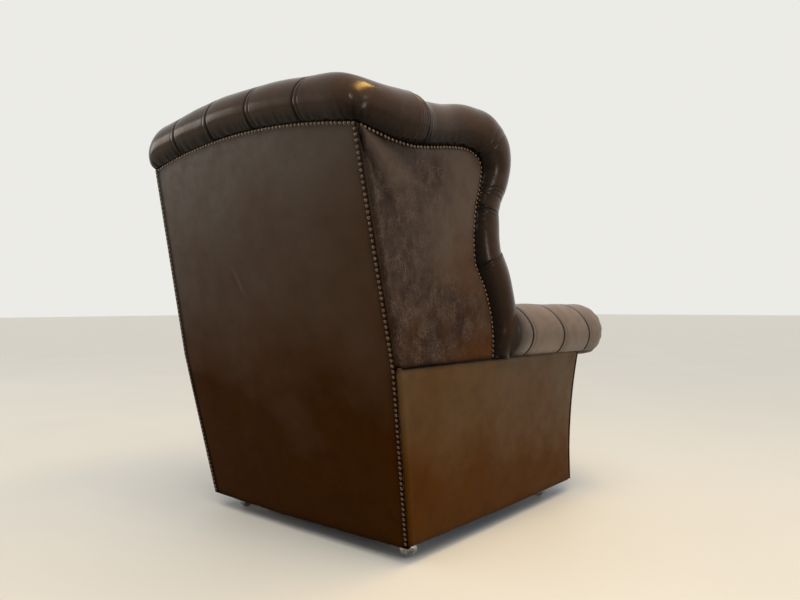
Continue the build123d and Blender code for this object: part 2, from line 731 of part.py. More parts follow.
border_plane = Plane(origin=(0, front_y, 0), x_dir=(1, 0, 0), z_dir=(0, -1, 0))
front_border = slab(border_plane, [(-border_half, hem_height), (border_half, hem_height),
                                   (border_half, platform_top - lip_radius),
                                   (-border_half, platform_top - lip_radius)], 0, cover)
lip_axis = Plane(origin=(-border_half, front_y, platform_top - lip_radius), z_dir=(1, 0, 0))
lip = Solid.make_cylinder(lip_radius, 2 * border_half, lip_axis)
lip = lip & slab(border_plane, [(-big, 0), (big, 0), (big, big), (-big, big)], 0, big)
front_border = front_border + lip
save("front_border", front_border)

dust_half_back = back_half_foot - post_outer_inset - rail_thick / 2
dust_corner = corner_block + 2 * rail_thick
dust_rear = back_foot_y - cover - post_deep - rail_thick / 2
dust_front = front_y + rail_thick / 2
dust_outline = []
for side_x, side_y in ((-1, 0), (1, 0), (1, 1), (-1, 1)):
    edge_y = dust_rear if side_y else dust_front
    inward_y = dust_corner * dust_corner_share * (-1 if side_y else 1)
    across = (side_x * (dust_half_back - dust_corner), edge_y)
    along = (side_x * dust_half_back, edge_y + inward_y)
    dust_outline += [along, across] if side_x * (1 if side_y else -1) > 0 else [across, along]
dust = slab(Plane.XY, dust_outline, timber_z - dust_cover, timber_z)
save("dust_cover", dust)

# Seat cushion: loose, boxed and crowned, with sides drawn in between its seams
cushion_floor = platform_top + cushion_seat_gap
cushion_front = facing_y - cushion_overhang
cushion_depth = platform_rear - lap - cushion_front
cushion_middle_y = (platform_rear - lap + cushion_front) / 2
cushion_wires = []
for share, inset_share in cushion_shares:
    inset = cushion_high * inset_share
    ring = Sketch() + RectangleRounded(2 * (cushion_half - inset), cushion_depth - 2 * inset, cushion_radius)
    place = Location((0, cushion_middle_y, cushion_floor + cushion_high * share))
    cushion_wires.append(ring.faces()[0].outer_wire().moved(place))
seat_cushion = Solid.make_loft(cushion_wires, ruled=True)
save("seat_cushion", seat_cushion)

# Ball castors: a socket plate, a swivelling hood, and a wheel on a tilted axle
ball_tilt_sin = sin(radians(ball_tilt))
ball_tilt_cos = cos(radians(ball_tilt))
socket_low = timber_z - socket_plate


def castor_frame(x, y, turn):
    """Swivel axis at the floor, with local X towards the ball."""
    heading = (cos(radians(turn)), sin(radians(turn)), 0)
    return Plane(origin=(x, y, 0), x_dir=heading, z_dir=(0, 0, 1))


def axle_plane():
    """Local frame of the axle: origin at the ball's centre, Z out of the wheel and downward."""
    centre = (ball_trail, 0, ball_radius)
    return Plane(origin=centre, x_dir=(0, 1, 0), z_dir=(ball_tilt_cos, 0, -ball_tilt_sin))


def along_axle(shape):
    """A shape made about Z, moved onto the axle."""
    return shape.moved(axle_plane().location)


def castor_pieces():
    """Hood with its stem, axle and wheel, in the castor's own frame."""
    wheel = Sphere(ball_radius) & disc(ball_radius, ball_gap / 2, wheel_flat)
    wheel = wheel - disc(axle_radius + running, 0, ball_radius)
    wheel = wheel - disc(axle_head + running + ball_gap, wheel_flat - axle_head_high - ball_gap, ball_radius)
    hood = Sphere(ball_radius) & disc(ball_radius, -ball_radius, -ball_gap / 2)
    hood = hood - disc(axle_radius, -axle_deep, 0)
    hood = along_axle(hood)
    stem = disc(stem_radius, ball_radius, timber_z + stem_high)
    outer = ball_radius + ball_gap
    cavity = along_axle(Sphere(outer) & disc(outer, -ball_gap / 2, outer))
    collar = disc(collar_radius, ball_radius, 2 * ball_radius - ball_gap)
    bore = along_axle(disc(axle_radius, -axle_deep, 0))
    hood = hood + ((stem + collar) - cavity - bore)
    axle = disc(axle_radius, -axle_deep, wheel_flat - axle_head_high) \
        + disc(axle_head, wheel_flat - axle_head_high, wheel_flat)
    return hood, along_axle(axle), along_axle(wheel)


hood, axle, wheel = castor_pieces()
castor_places = {
    "back_right": (-castor_x, castor_back_y),
    "back_left": (castor_x, castor_back_y),
    "front_right": (-castor_x, castor_front_y),
    "front_left": (castor_x, castor_front_y),
}
sockets = []
for name, (x, y) in castor_places.items():
    place = castor_frame(x, y, castor_turns[name]).location
    save("castor_hood_" + name, hood.moved(place))
    save("castor_axle_" + name, axle.moved(place))
    save("castor_wheel_" + name, wheel.moved(place))
    plate = Pos(0, 0, socket_low) * Box(2 * socket_plate_half, 2 * socket_plate_half, socket_plate,
                                        align=(Align.CENTER, Align.CENTER, Align.MIN))
    sleeve = disc(socket_radius, socket_low, timber_z + stem_high + lap)
    bore = disc(stem_radius + running, 0, timber_z + 2 * stem_high)
    socket = plate + sleeve - bore
    sockets.append(socket.moved(Location((x, y, 0))))
save("castor_sockets", *sockets)

crest_box = crest_roll.bounding_box()
arm_box = arm_roll.bounding_box()
print("height", crest_box.max.Z, "rear", crest_box.max.Y, "front", arm_box.min.Y, "half width", -arm_box.min.X)
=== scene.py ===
"""Looks of the chesterfield wing armchair: covers, pleated rolls, buttoning, nails, timber and castors.

Metres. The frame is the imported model's: +Z up, the sitter faces -Y, the sitter's right hand is on -X.
"""
import bpy
import math
import numpy as np
from mathutils import Matrix, Vector


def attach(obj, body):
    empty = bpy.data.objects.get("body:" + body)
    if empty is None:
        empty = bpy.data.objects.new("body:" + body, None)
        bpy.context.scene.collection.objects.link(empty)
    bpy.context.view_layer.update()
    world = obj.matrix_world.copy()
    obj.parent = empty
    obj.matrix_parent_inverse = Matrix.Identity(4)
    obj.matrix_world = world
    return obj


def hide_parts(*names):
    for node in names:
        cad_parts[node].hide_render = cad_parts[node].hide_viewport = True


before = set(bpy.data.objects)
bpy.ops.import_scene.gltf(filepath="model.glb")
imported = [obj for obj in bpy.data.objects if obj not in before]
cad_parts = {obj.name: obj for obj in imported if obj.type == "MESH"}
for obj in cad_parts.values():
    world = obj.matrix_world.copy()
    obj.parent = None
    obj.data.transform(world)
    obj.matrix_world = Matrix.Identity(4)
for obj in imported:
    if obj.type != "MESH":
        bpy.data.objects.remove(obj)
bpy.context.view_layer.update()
CHAIR = "chair"

# Sizes shared with the frame, in metres
MM = 0.001
back_rake = math.radians(11.2)
hem_height = 44 * MM
base_depth = 780 * MM
cover = 5 * MM
half_foot, half_waist, half_shoulder = 360 * MM, 392 * MM, 375 * MM
waist_rise, shoulder_rise, crest_rise = 402 * MM, 911 * MM, 37 * MM
roll_radius, core_depth, core_height = 50 * MM, 30 * MM, 44 * MM
wing_flare, wing_reach = 0.025, 476 * MM
wing_drop = shoulder_rise - waist_rise
seam_height = hem_height + waist_rise
crest_pleats = [x * MM for x in (-222, -60, 91, 233)]
crest_leans = [x * MM for x in (26, 24, 26, 8)]
wing_line_shares = (
    (0.000, 0.000), (0.215, -0.027), (0.365, -0.031), (0.420, -0.025), (0.475, -0.018), (0.658, 0.012),
    (0.788, 0.024), (0.872, 0.010), (0.920, -0.020), (0.935, -0.072), (0.912, -0.165), (0.888, -0.218),
    (0.879, -0.245), (0.871, -0.272), (0.849, -0.400), (0.853, -0.515), (0.864, -0.543), (0.880, -0.571),
    (0.937, -0.650), (0.986, -0.775), (1.000, -0.878), (0.992, -1.000),
)
wing_pleat_indices = (3, 12, 16)
wing_fullness = [x * MM for x in (6, 21, 27, 25, 12, 2, 12, 33, 37, 20, 3,
                                  4, 7, 8, 12, 17, 20, 20, 18, 15, 13, 11)]
nail_pitch, nail_radius = 12 * MM, 5.1 * MM
half_length, roll_reach = 0.531, 0.537
hide_fill, pad_fill = 0.9, 0.85

# Planes of the frame
rake_sin, rake_cos, rake_tan = math.sin(back_rake), math.cos(back_rake), math.tan(back_rake)
waist_up, shoulder_up = waist_rise / rake_cos, shoulder_rise / rake_cos
crest_up = shoulder_up + crest_rise
crest_overhang = (crest_up + core_height) * rake_sin - core_depth * rake_cos + roll_radius
back_foot_y = half_length - crest_overhang
facing_y = back_foot_y - base_depth


def unit(v):
    """A vector of length one, or rows of them."""
    v = np.asarray(v, float)
    return v / np.linalg.norm(v, axis=-1, keepdims=True)


back_origin = np.array((0, back_foot_y, hem_height))
back_x, back_up = np.array((1.0, 0, 0)), np.array((0, rake_sin, rake_cos))
back_in = np.array((0, -rake_cos, rake_sin))
corner = np.array((-half_shoulder, back_foot_y + shoulder_rise * rake_tan, hem_height + shoulder_rise))
wing_lean = (half_waist - half_shoulder) / wing_drop - wing_flare * rake_tan
wing_forward = unit((-wing_flare, -1, 0))
wing_out = unit((-1, wing_flare, wing_lean))
wing_up = np.cross(wing_out, wing_forward)


def on_back(x, up, inward=0.0):
    """Points over the outer back: across, up the rake and inward."""
    x, up, inward = np.broadcast_arrays(x, up, inward)
    return back_origin + x[..., None] * back_x + up[..., None] * back_up + inward[..., None] * back_in


def on_wing(forward, up, out=0.0):
    """Points over the right-hand wing's outer cover: forward and up from the top corner, and outward."""
    forward, up, out = np.broadcast_arrays(forward, up, out)
    return corner + forward[..., None] * wing_forward + up[..., None] * wing_up + out[..., None] * wing_out


def crest_line(x):
    """Height along the rake of the arched top of the back."""
    return shoulder_up + crest_rise * (1 - (np.asarray(x) / half_shoulder) ** 2)


def back_half(up):
    """Half width of the back at a height along the rake."""
    return np.interp(up, (0, waist_up, shoulder_up), (half_foot, half_waist, half_shoulder))


# Noise and curves
def lattice_noise(u, v, seed):
    """Smooth noise between -1 and 1 over a plane, the same on each run."""
    table = np.random.RandomState(seed).uniform(-1, 1, (64, 64))
    u, v = np.broadcast_arrays(np.asarray(u, float), np.asarray(v, float))
    iu, iv = np.floor(u).astype(int), np.floor(v).astype(int)
    fu, fv = eased(u - iu), eased(v - iv)
    a, b = table[iu % 64, iv % 64], table[(iu + 1) % 64, iv % 64]
    c, d = table[iu % 64, (iv + 1) % 64], table[(iu + 1) % 64, (iv + 1) % 64]
    return (a * (1 - fu) + b * fu) * (1 - fv) + (c * (1 - fu) + d * fu) * fv


def bump(distance, width):
    """A soft hump of height one."""
    return np.exp(-(np.asarray(distance) / width) ** 2)


def crease(distance, width):
    """A sharp-bottomed groove of depth one."""
    return np.exp(-np.abs(np.asarray(distance)) / width)


def eased(share):
    """A share from 0 to 1 with a soft start and a soft end."""
    return share * share * (3 - 2 * share)


def nearness(places, marks):
    """Distance from each place to the nearest mark."""
    return np.min(np.abs(places[:, None] - np.array(marks)[None]), axis=1)


def smooth_curve(points, pitch):
    """A round-cornered path through points (Catmull-Rom), sampled at an even pitch."""
    points = np.asarray(points, float)
    ends = np.vstack([2 * points[0] - points[1], points, 2 * points[-1] - points[-2]])
    fine = []
    for i in range(len(points) - 1):
        p0, p1, p2, p3 = ends[i:i + 4]
        t = np.linspace(0, 1, 40, endpoint=False)[:, None]
        fine.append(0.5 * (2 * p1 + (p2 - p0) * t + (2 * p0 - 5 * p1 + 4 * p2 - p3) * t ** 2
                           + (3 * p1 - p0 - 3 * p2 + p3) * t ** 3))
    fine = np.vstack(fine + [points[-1:]])
    run = run_length(fine)
    count = max(2, int(round(run[-1] / pitch)) + 1)
    at = np.linspace(0, run[-1], count)
    return np.column_stack([np.interp(at, run, fine[:, k]) for k in range(fine.shape[1])])


def run_length(points):
    """Distance along a row of points."""
    return np.concatenate([[0], np.cumsum(np.linalg.norm(np.diff(points, axis=0), axis=1))])


def soften(grid, sigma):
    """Smooth a grid of points along its rows, by a width counted in points."""
    reach = max(1, int(3 * np.max(sigma)))
    offsets = np.arange(-reach, reach + 1)
    padded = np.pad(grid, [(reach, reach), (0, 0), (0, 0)], mode="reflect", reflect_type="odd")
    weight = np.exp(-0.5 * (offsets[:, None] / np.maximum(sigma, 1e-3)) ** 2)
    weight = weight / weight.sum(0)
    total = np.zeros_like(grid)
    for k, offset in enumerate(offsets):
        total += padded[reach + offset:reach + offset + grid.shape[0]] * weight[k][None, :, None]
    return total


# Mesh helpers
def mesh_piece(name, verts, faces, material, slot, nodes=(), shade=None, body=CHAIR, fill=None, worn=None):
    """A piece from vertices and faces. Each vertex has a value of painted shade, and one of worn, up to 1."""
    mesh = bpy.data.meshes.new(name)
    mesh.from_pydata([tuple(v) for v in verts], [], faces)
    mesh.validate()
    for layer_name, values in (("shade", shade), ("worn", worn)):
        if values is not None:
            layer = mesh.attributes.new(layer_name, "FLOAT", "POINT")
            layer.data.foreach_set("value", np.asarray(values, np.float32).ravel())
    mesh.polygons.foreach_set("use_smooth", [True] * len(mesh.polygons))
    piece = bpy.data.objects.new(name, mesh)
    bpy.context.collection.objects.link(piece)
    mesh.materials.append(material)
    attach(piece, body)
    if nodes:
        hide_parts(*nodes)
    return piece


def grid_faces(rows, columns, closed=False):
    """Quads over a grid of points; closed joins the last column to the first."""
    faces = []
    last = columns if closed else columns - 1
    for i in range(rows - 1):
        for j in range(last):
            k = (j + 1) % columns
            faces.append((i * columns + j, i * columns + k, (i + 1) * columns + k, (i + 1) * columns + j))
    return faces


def normals(grid):
    """Unit normals of a grid of points: rows crossed with columns."""
    return unit(np.cross(np.gradient(grid, axis=0), np.gradient(grid, axis=1)) + 1e-12)


def thicken(piece, thickness):
    """Give a piece's face a real thickness behind it."""
    solid = piece.modifiers.new("thickness", "SOLIDIFY")
    solid.thickness = thickness
    solid.offset = -1
    return piece


def sheet_piece(name, grid, material, slot, nodes=(), shade=None, thickness=2.5 * MM, flip=False, **rest):
    """A leather cover over a grid of points."""
    rows, columns = grid.shape[:2]
    faces = grid_faces(rows, columns)
    if flip:
        faces = [face[::-1] for face in faces]
    piece = mesh_piece(name, grid.reshape(-1, 3), faces, material, slot, nodes, shade, **rest)
    return thicken(piece, thickness)


mirror_x = np.array((-1, 1, 1))


def other_side(grid):
    """The left-hand grid that mirrors a right-hand one, with its faces still turned outward."""
    return (grid * mirror_x)[:, ::-1]


def sheet_pair(name, make_cover, seeds, material, slot, node, **rest):
    """The right-hand and the left-hand cover of one kind, each with its own seed of small differences."""
    for side, seed in zip(("right", "left"), seeds):
        grid, shade, *worn = make_cover(seed)
        if side == "left":
            grid, shade, worn = other_side(grid), shade[:, ::-1], [values[:, ::-1] for values in worn]
        sheet_piece(f"{name}_{side}", grid, material, slot, (f"{node}_{side}",), shade,
                    worn=worn[0] if worn else None, **rest)


def tube_piece(name, path, radius, material, slot, sides=8, **rest):
    """A round welt along a path."""
    path = np.asarray(path, float)
    along = unit(np.gradient(path, axis=0))
    side = unit(np.cross(along, (0.13, 0.21, 0.97)))
    other = np.cross(along, side)
    angle = np.linspace(0, 2 * math.pi, sides, endpoint=False)
    rings = (path[:, None] + radius * (np.cos(angle)[None, :, None] * side[:, None]
                                       + np.sin(angle)[None, :, None] * other[:, None]))
    faces = grid_faces(len(path), sides, closed=True)
    faces += [tuple(range(sides))[::-1], tuple(range((len(path) - 1) * sides, len(path) * sides))]
    return mesh_piece(name, rings.reshape(-1, 3), faces, material, slot, **rest)


# Materials
def material_nodes(name):
    """An empty node material: its tree, its shader, and a maker of linked nodes."""
    material = bpy.data.materials.new(name)
    material.use_nodes = True
    tree = material.node_tree
    shader = tree.nodes["Principled BSDF"]

    def node(kind, links=None, **settings):
        made = tree.nodes.new(kind)
        for key, value in settings.items():
            setattr(made, key, value)
        for socket, value in (links or {}).items():
            if isinstance(value, bpy.types.NodeSocket):
                tree.links.new(value, made.inputs[socket])
            else:
                made.inputs[socket].default_value = value
        return made

    return material, tree, shader, node


def mix_colour(node, factor, a, b):
    """Two colours mixed by a factor."""
    made = node("ShaderNodeMix", data_type="RGBA")
    tree = made.id_data
    for index, value in ((0, factor), (6, a), (7, b)):
        if isinstance(value, bpy.types.NodeSocket):
            tree.links.new(value, made.inputs[index])
        else:
            made.inputs[index].default_value = value
    return made.outputs[2]


def maths(node, operation, *values):
    """A number worked out from others."""
    return node("ShaderNodeMath", dict(enumerate(values)), operation=operation).outputs[0]


def relief(node, height, strength, distance, **below):
    """Fine relief, over another one if it is given."""
    values = {"Height": height, "Strength": strength, "Distance": distance, **below}
    return node("ShaderNodeBump", values).outputs[0]


def dimmed(colour, share):
    """A colour at a share of its brightness."""
    return tuple(share * c for c in colour[:3]) + (1,)


def ramp(node, factor, *stops):
    """A ramp of grey values or colours."""
    made = node("ShaderNodeValToRGB", {0: factor})
    elements = made.color_ramp.elements
    while len(elements) < len(stops):
        elements.new(0.5)
    for element, (place, colour) in zip(elements, stops):
        element.position = place
        element.color = colour if isinstance(colour, tuple) else (colour, colour, colour, 1)
    return made.outputs[0]


def noise(node, place, scale, detail=4.0, roughness=0.55, distortion=0.0):
    """Fractal noise at a scale per metre."""
    values = {"Vector": place, "Scale": scale, "Detail": detail, "Roughness": roughness,
              "Distortion": distortion}
    return node("ShaderNodeTexNoise", values).outputs[0]


def object_place(node):
    """Places on the object, in metres."""
    return node("ShaderNodeTexCoord").outputs["Object"]


def vertex_value(node, name):
    """A value that the mesh carries at its vertices."""
    return node("ShaderNodeAttribute", attribute_name=name).outputs["Fac"]


def stretched(node, place, scale):
    """Places stretched along the axes."""
    return node("ShaderNodeMapping", {"Vector": place, "Scale": scale}).outputs[0]


def leather(name, base, dark, low, rough=0.42, grain=1.0, mottle=0.35, rub=0.0, scuff=(0.20, 0.12, 0.075, 1),
            crackle=0.0, coat=0.15, floor_reflection_tint=(1.0, 0.50, 0.16, 1), floor_glow_heights=(0.22, 0.86), sheen=(0.05, 0.28),
            upper_reflection_tint=(1.0, 0.90, 0.80, 1)):
    """Aged leather: mottled, pebbled and semi-gloss, with a painted floor reflection low down and painted
    shade.
    """
    material, tree, shader, node = material_nodes(name)
    place = object_place(node)
    level = node("ShaderNodeSeparateXYZ", {0: place}).outputs[2]
    broad = noise(node, place, 4.5, 3.0)
    drift = maths(node, "MULTIPLY_ADD", broad, 0.5, -0.25)
    # Painted reflection: low down the colour turns to the redder, darker low colour, a warm floor's
    # reflection and shade.
    high = ramp(node, maths(node, "ADD", level, drift), (floor_glow_heights[0], 0.0), (floor_glow_heights[1], 1.0))
    patches = noise(node, place, 20.0, 6.0, 0.62, 0.6)
    colour = mix_colour(node, high, low, base)
    colour = mix_colour(node, ramp(node, patches, (0.44, 0.0), (0.64, mottle)), colour, dark)
    cracks = []
    if rub > 0:
        rubbed = noise(node, place, 70.0, 8.0, 0.72, 0.3)
        colour = mix_colour(node, ramp(node, rubbed, (0.54, 0.0), (0.78, rub)), colour, scuff)
    if crackle > 0:
        worn = vertex_value(node, "worn")
        cloud = ramp(node, noise(node, place, 13.0, 5.0, 0.65, 0.5), (0.34, 0.55), (0.58, 1.0))
        area = maths(node, "MULTIPLY", worn, cloud)
        colour = mix_colour(node, area, colour, dark)
        wobble = node("ShaderNodeTexNoise", {"Vector": place, "Scale": 60.0, "Detail": 5.0}).outputs["Color"]
        shifted = node("ShaderNodeVectorMath", {0: wobble, 1: (0.016, 0.016, 0.016), 2: place},
                       operation="MULTIPLY_ADD").outputs[0]
        drawn = stretched(node, shifted, (1.0, 1.0, 0.55))
        spots = ramp(node, noise(node, place, 26.0, 4.0, 0.6), (0.42, 0.12), (0.66, 1.0))
        for scale, width, strength in ((80.0, 0.045, 0.42), (190.0, 0.075, 0.50), (400.0, 0.12, 0.42)):
            cells = node("ShaderNodeTexVoronoi", {"Vector": drawn, "Scale": scale},
                         feature="DISTANCE_TO_EDGE")
            crack = ramp(node, cells.outputs["Distance"], (0.0, strength * crackle), (width, 0.0))
            crack = maths(node, "MULTIPLY", maths(node, "MULTIPLY", crack, spots), worn)
            colour = mix_colour(node, crack, colour, scuff)
            cracks.append(crack)
        long_noise = noise(node, stretched(node, place, (1.0, 1.0, 0.12)), 150.0, 5.0, 0.7)
        streak = maths(node, "MULTIPLY", ramp(node, long_noise, (0.60, 0.0), (0.72, 0.22)), worn)
        colour = mix_colour(node, streak, colour, scuff)
    # Painted shade: where the mesh's shade value is high the colour darkens and, below, the reflections dim.
    shade = vertex_value(node, "shade")
    colour = mix_colour(node, shade, colour, dimmed(dark, 0.15))
    tree.links.new(colour, shader.inputs["Base Color"])
    gloss = noise(node, place, 30.0, 5.0, 0.6)
    tree.links.new(ramp(node, gloss, (0.3, rough - 0.05), (0.7, rough + 0.09)), shader.inputs["Roughness"])
    bright = maths(node, "MULTIPLY_ADD", shade, -0.8, 1.0)
    if crackle > 0:
        bright = maths(node, "MULTIPLY_ADD", area, -0.45, bright)
    level_gloss = maths(node, "MULTIPLY", ramp(node, high, (0.0, sheen[0]), (1.0, sheen[1])), bright)
    tree.links.new(level_gloss, shader.inputs["Specular IOR Level"])
    # Painted reflection colour: the reflections are tinted warmer towards the floor.
    tree.links.new(mix_colour(node, high, floor_reflection_tint, upper_reflection_tint), shader.inputs["Specular Tint"])
    pebble = node("ShaderNodeTexVoronoi", {"Vector": place, "Scale": 620.0}, feature="SMOOTH_F1")
    pores = noise(node, place, 900.0, 3.0, 0.6)
    skin = maths(node, "ADD", pebble.outputs["Distance"], pores)
    for crack in cracks:
        skin = maths(node, "MULTIPLY_ADD", crack, -1.4, skin)
    creases = noise(node, place, 48.0, 6.0, 0.62, 0.5)
    fine = relief(node, skin, 0.13 * grain, 0.0005)
    tree.links.new(relief(node, creases, 0.16 * grain, 0.0012, Normal=fine), shader.inputs["Normal"])
    shader.inputs["Coat Weight"].default_value = coat
    shader.inputs["Coat Roughness"].default_value = 0.20
    return material


def metal(name, base, dark, rough, bump_strength=0.12, wear_scale=90.0):
    """Metal with tarnish in patches, and painted shade where the mesh's shade value is high."""
    material, tree, shader, node = material_nodes(name)
    place = object_place(node)
    tarnish = noise(node, place, wear_scale, 6.0, 0.65)
    colour = mix_colour(node, ramp(node, tarnish, (0.40, 0.0), (0.66, 0.85)), base, dark)
    colour = mix_colour(node, vertex_value(node, "shade"), colour, dimmed(dark, 0.35))
    tree.links.new(colour, shader.inputs["Base Color"])
    tree.links.new(ramp(node, tarnish, (0.3, rough - 0.08), (0.7, rough + 0.18)), shader.inputs["Roughness"])
    scratches = relief(node, noise(node, place, 420.0, 4.0), bump_strength, 0.0004)
    tree.links.new(scratches, shader.inputs["Normal"])
    shader.inputs["Metallic"].default_value = 1.0
    return material


def timber(name, base, dark):
    """Planed beech: long grain with short dark flecks."""
    material, tree, shader, node = material_nodes(name)
    place = stretched(node, object_place(node), (14.0, 3.0, 14.0))
    bands = noise(node, place, 9.0, 6.0, 0.6, 1.2)
    flecks = noise(node, place, 70.0, 3.0, 0.7)
    colour = mix_colour(node, ramp(node, bands, (0.35, 0.0), (0.7, 0.8)), base, dark)
    colour = mix_colour(node, ramp(node, flecks, (0.58, 0.0), (0.66, 0.5)), colour, dimmed(dark, 0.6))
    tree.links.new(colour, shader.inputs["Base Color"])
    tree.links.new(relief(node, flecks, 0.2, 0.0006), shader.inputs["Normal"])
    shader.inputs["Roughness"].default_value = 0.62
    return material


def woven(name, base, dark, threads):
    """Plain woven cloth of crossed threads; a higher count is finer."""
    material, tree, shader, node = material_nodes(name)
    values = {"Vector": object_place(node), "Scale": threads / 20, "Distortion": 0.6, "Detail": 2.0}
    warp, weft = (node("ShaderNodeTexWave", values, wave_type="BANDS", bands_direction=direction)
                  for direction in ("X", "Y"))
    crossed = maths(node, "MULTIPLY", warp.outputs["Fac"], weft.outputs["Fac"])
    tree.links.new(mix_colour(node, crossed, dark, base), shader.inputs["Base Color"])
    tree.links.new(relief(node, crossed, 0.5, 0.0006), shader.inputs["Normal"])
    shader.inputs["Roughness"].default_value = 0.9
    return material


umber = (0.010, 0.0045, 0.0025, 1)
# In each leather the third colour is the painted floor reflection: the redder, darker colour it turns to low
# down.
outer_leather = leather(
    "outer_leather", (0.037, 0.0235, 0.0150, 1), umber, (0.030, 0.0092, 0.0003, 1), rough=0.46, mottle=0.20,
    rub=0.04, coat=0.0, floor_reflection_tint=(1.0, 0.40, 0.08, 1), sheen=(0.02, 0.26), floor_glow_heights=(0.30, 0.88))
wing_leather = leather(
    "wing_leather", (0.069, 0.0465, 0.0335, 1), (0.0170, 0.0095, 0.0072, 1), (0.060, 0.019, 0.0006, 1),
    rough=0.44, mottle=0.25, rub=0.08, crackle=1.0, grain=1.5, coat=0.0, floor_glow_heights=(0.46, 0.74),
    scuff=(0.160, 0.112, 0.086, 1), sheen=(0.08, 0.20), upper_reflection_tint=(1.0, 0.84, 0.72, 1))
side_leather = leather(
    "side_leather", (0.078, 0.041, 0.0120, 1), umber, (0.064, 0.0210, 0.0008, 1), rough=0.42, mottle=0.20,
    rub=0.05, coat=0.0, floor_glow_heights=(0.15, 0.52), floor_reflection_tint=(1.0, 0.45, 0.12, 1), sheen=(0.05, 0.26))
roll_leather = leather(
    "roll_leather", (0.035, 0.0165, 0.0078, 1), umber, (0.020, 0.0060, 0.0012, 1), rough=0.20, mottle=0.45,
    grain=0.6, coat=0.08, floor_reflection_tint=(1.0, 0.66, 0.36, 1), sheen=(0.12, 0.22), upper_reflection_tint=(1.0, 0.84, 0.68, 1))
front_leather = leather(
    "front_leather", (0.050, 0.0270, 0.0150, 1), umber, (0.040, 0.0165, 0.0060, 1), rough=0.42, mottle=0.30,
    rub=0.06, coat=0.0, floor_reflection_tint=(1.0, 0.66, 0.38, 1), sheen=(0.14, 0.28))
# The arm leather is lighter than the rolls' leather: partly a painted sheen on the arms, partly their real
# wear.
arm_sheen_and_wear_leather = leather(
    "arm_sheen_and_wear_leather", (0.134, 0.095, 0.071, 1), umber, (0.119, 0.081, 0.058, 1), rough=0.36, mottle=0.25,
    grain=0.9, coat=0.08, floor_reflection_tint=(1.0, 0.85, 0.70, 1), sheen=(0.34, 0.34))
inside_leather = leather(
    "inside_leather", (0.042, 0.0195, 0.0105, 1), umber, (0.038, 0.015, 0.006, 1), rough=0.32, mottle=0.45,
    coat=0.20, floor_reflection_tint=(1.0, 0.75, 0.5, 1), sheen=(0.30, 0.40))
seat_leather = leather(
    "seat_leather", (0.048, 0.023, 0.0125, 1), umber, (0.044, 0.019, 0.009, 1), rough=0.36, mottle=0.5,
    rub=0.12, coat=0.05, floor_reflection_tint=(1.0, 0.75, 0.5, 1), sheen=(0.20, 0.28), upper_reflection_tint=(1.0, 0.84, 0.70, 1))
piping_leather = leather(
    "piping_leather", (0.040, 0.019, 0.010, 1), umber, (0.038, 0.015, 0.006, 1), rough=0.36, rub=0.35,
    coat=0.0, sheen=(0.2, 0.3))
bronze = metal("nail_bronze", (0.145, 0.096, 0.066, 1), (0.040, 0.024, 0.015, 1), 0.17, 0.05, 300.0)
nickel = metal("castor_nickel", (0.62, 0.60, 0.56, 1), (0.26, 0.24, 0.22, 1), 0.34)
wheel_nickel = metal("castor_wheel_nickel", (0.50, 0.48, 0.45, 1), (0.16, 0.15, 0.14, 1), 0.44, 0.3)
axle_steel = metal("axle_steel", (0.48, 0.47, 0.46, 1), (0.22, 0.21, 0.20, 1), 0.30)
socket_steel = metal("socket_steel", (0.52, 0.53, 0.54, 1), (0.28, 0.28, 0.28, 1), 0.42)
beech = timber("beech", (0.56, 0.39, 0.23, 1), (0.40, 0.25, 0.13, 1))
jute = woven("jute_webbing", (0.50, 0.39, 0.24, 1), (0.24, 0.17, 0.09, 1), 2600.0)
lining = woven("black_lining", (0.030, 0.030, 0.032, 1), (0.010, 0.010, 0.011, 1), 5200.0)
cotton = woven("platform_cloth", (0.10, 0.065, 0.045, 1), (0.045, 0.028, 0.020, 1), 4200.0)


# Roll round the back and the wings: one leather, in one sweep from the left arm to the right arm
station = 4 * MM
crest_x = np.linspace(-half_shoulder, half_shoulder, int(2 * half_shoulder / station) | 1)
crest_path = on_back(crest_x, crest_line(crest_x))
crest_ups = np.tile(back_up, (len(crest_x), 1))
crest_outs = np.tile(-back_in, (len(crest_x), 1))

wing_flat = smooth_curve([(wing_reach * s, wing_drop * t) for s, t in wing_line_shares], station)
wing_flat_run = unit(np.gradient(wing_flat, axis=0))
wing_path = on_wing(wing_flat[:, 0], wing_flat[:, 1])
wing_ups = -wing_flat_run[:, 1:] * wing_forward + wing_flat_run[:, :1] * wing_up
wing_outs = np.tile(wing_out, (len(wing_flat), 1))
wing_run = run_length(wing_flat)

# From the left wing's foot over the crest (seen from behind: right to left) to the right wing's foot
path = np.vstack([(wing_path * mirror_x)[::-1], crest_path[::-1][1:-1], wing_path])
ups = np.vstack([(wing_ups * mirror_x)[::-1], crest_ups[::-1][1:-1], wing_ups])
outs = np.vstack([(wing_outs * mirror_x)[::-1], crest_outs[::-1][1:-1], wing_outs])
left_corner, right_corner = len(wing_path) - 1, len(wing_path) + len(crest_path) - 2


def spread(length, marks, coarse, fine, reach):
    """Places along a length, closer together round the marks."""
    s = np.linspace(0, length, 4000)
    density = np.full_like(s, 1 / coarse)
    for mark in marks:
        density += bump(s - mark, reach) * (1 / fine - 1 / coarse)
    total = np.concatenate([[0], np.cumsum((density[1:] + density[:-1]) / 2 * np.diff(s))])
    return np.interp(np.linspace(0, total[-1], int(total[-1]) + 1), total, s)


def at_run(run, rows, places):
    """Rows of points or vectors read at places along their run."""
    return np.column_stack([np.interp(places, run, rows[:, k]) for k in range(3)])


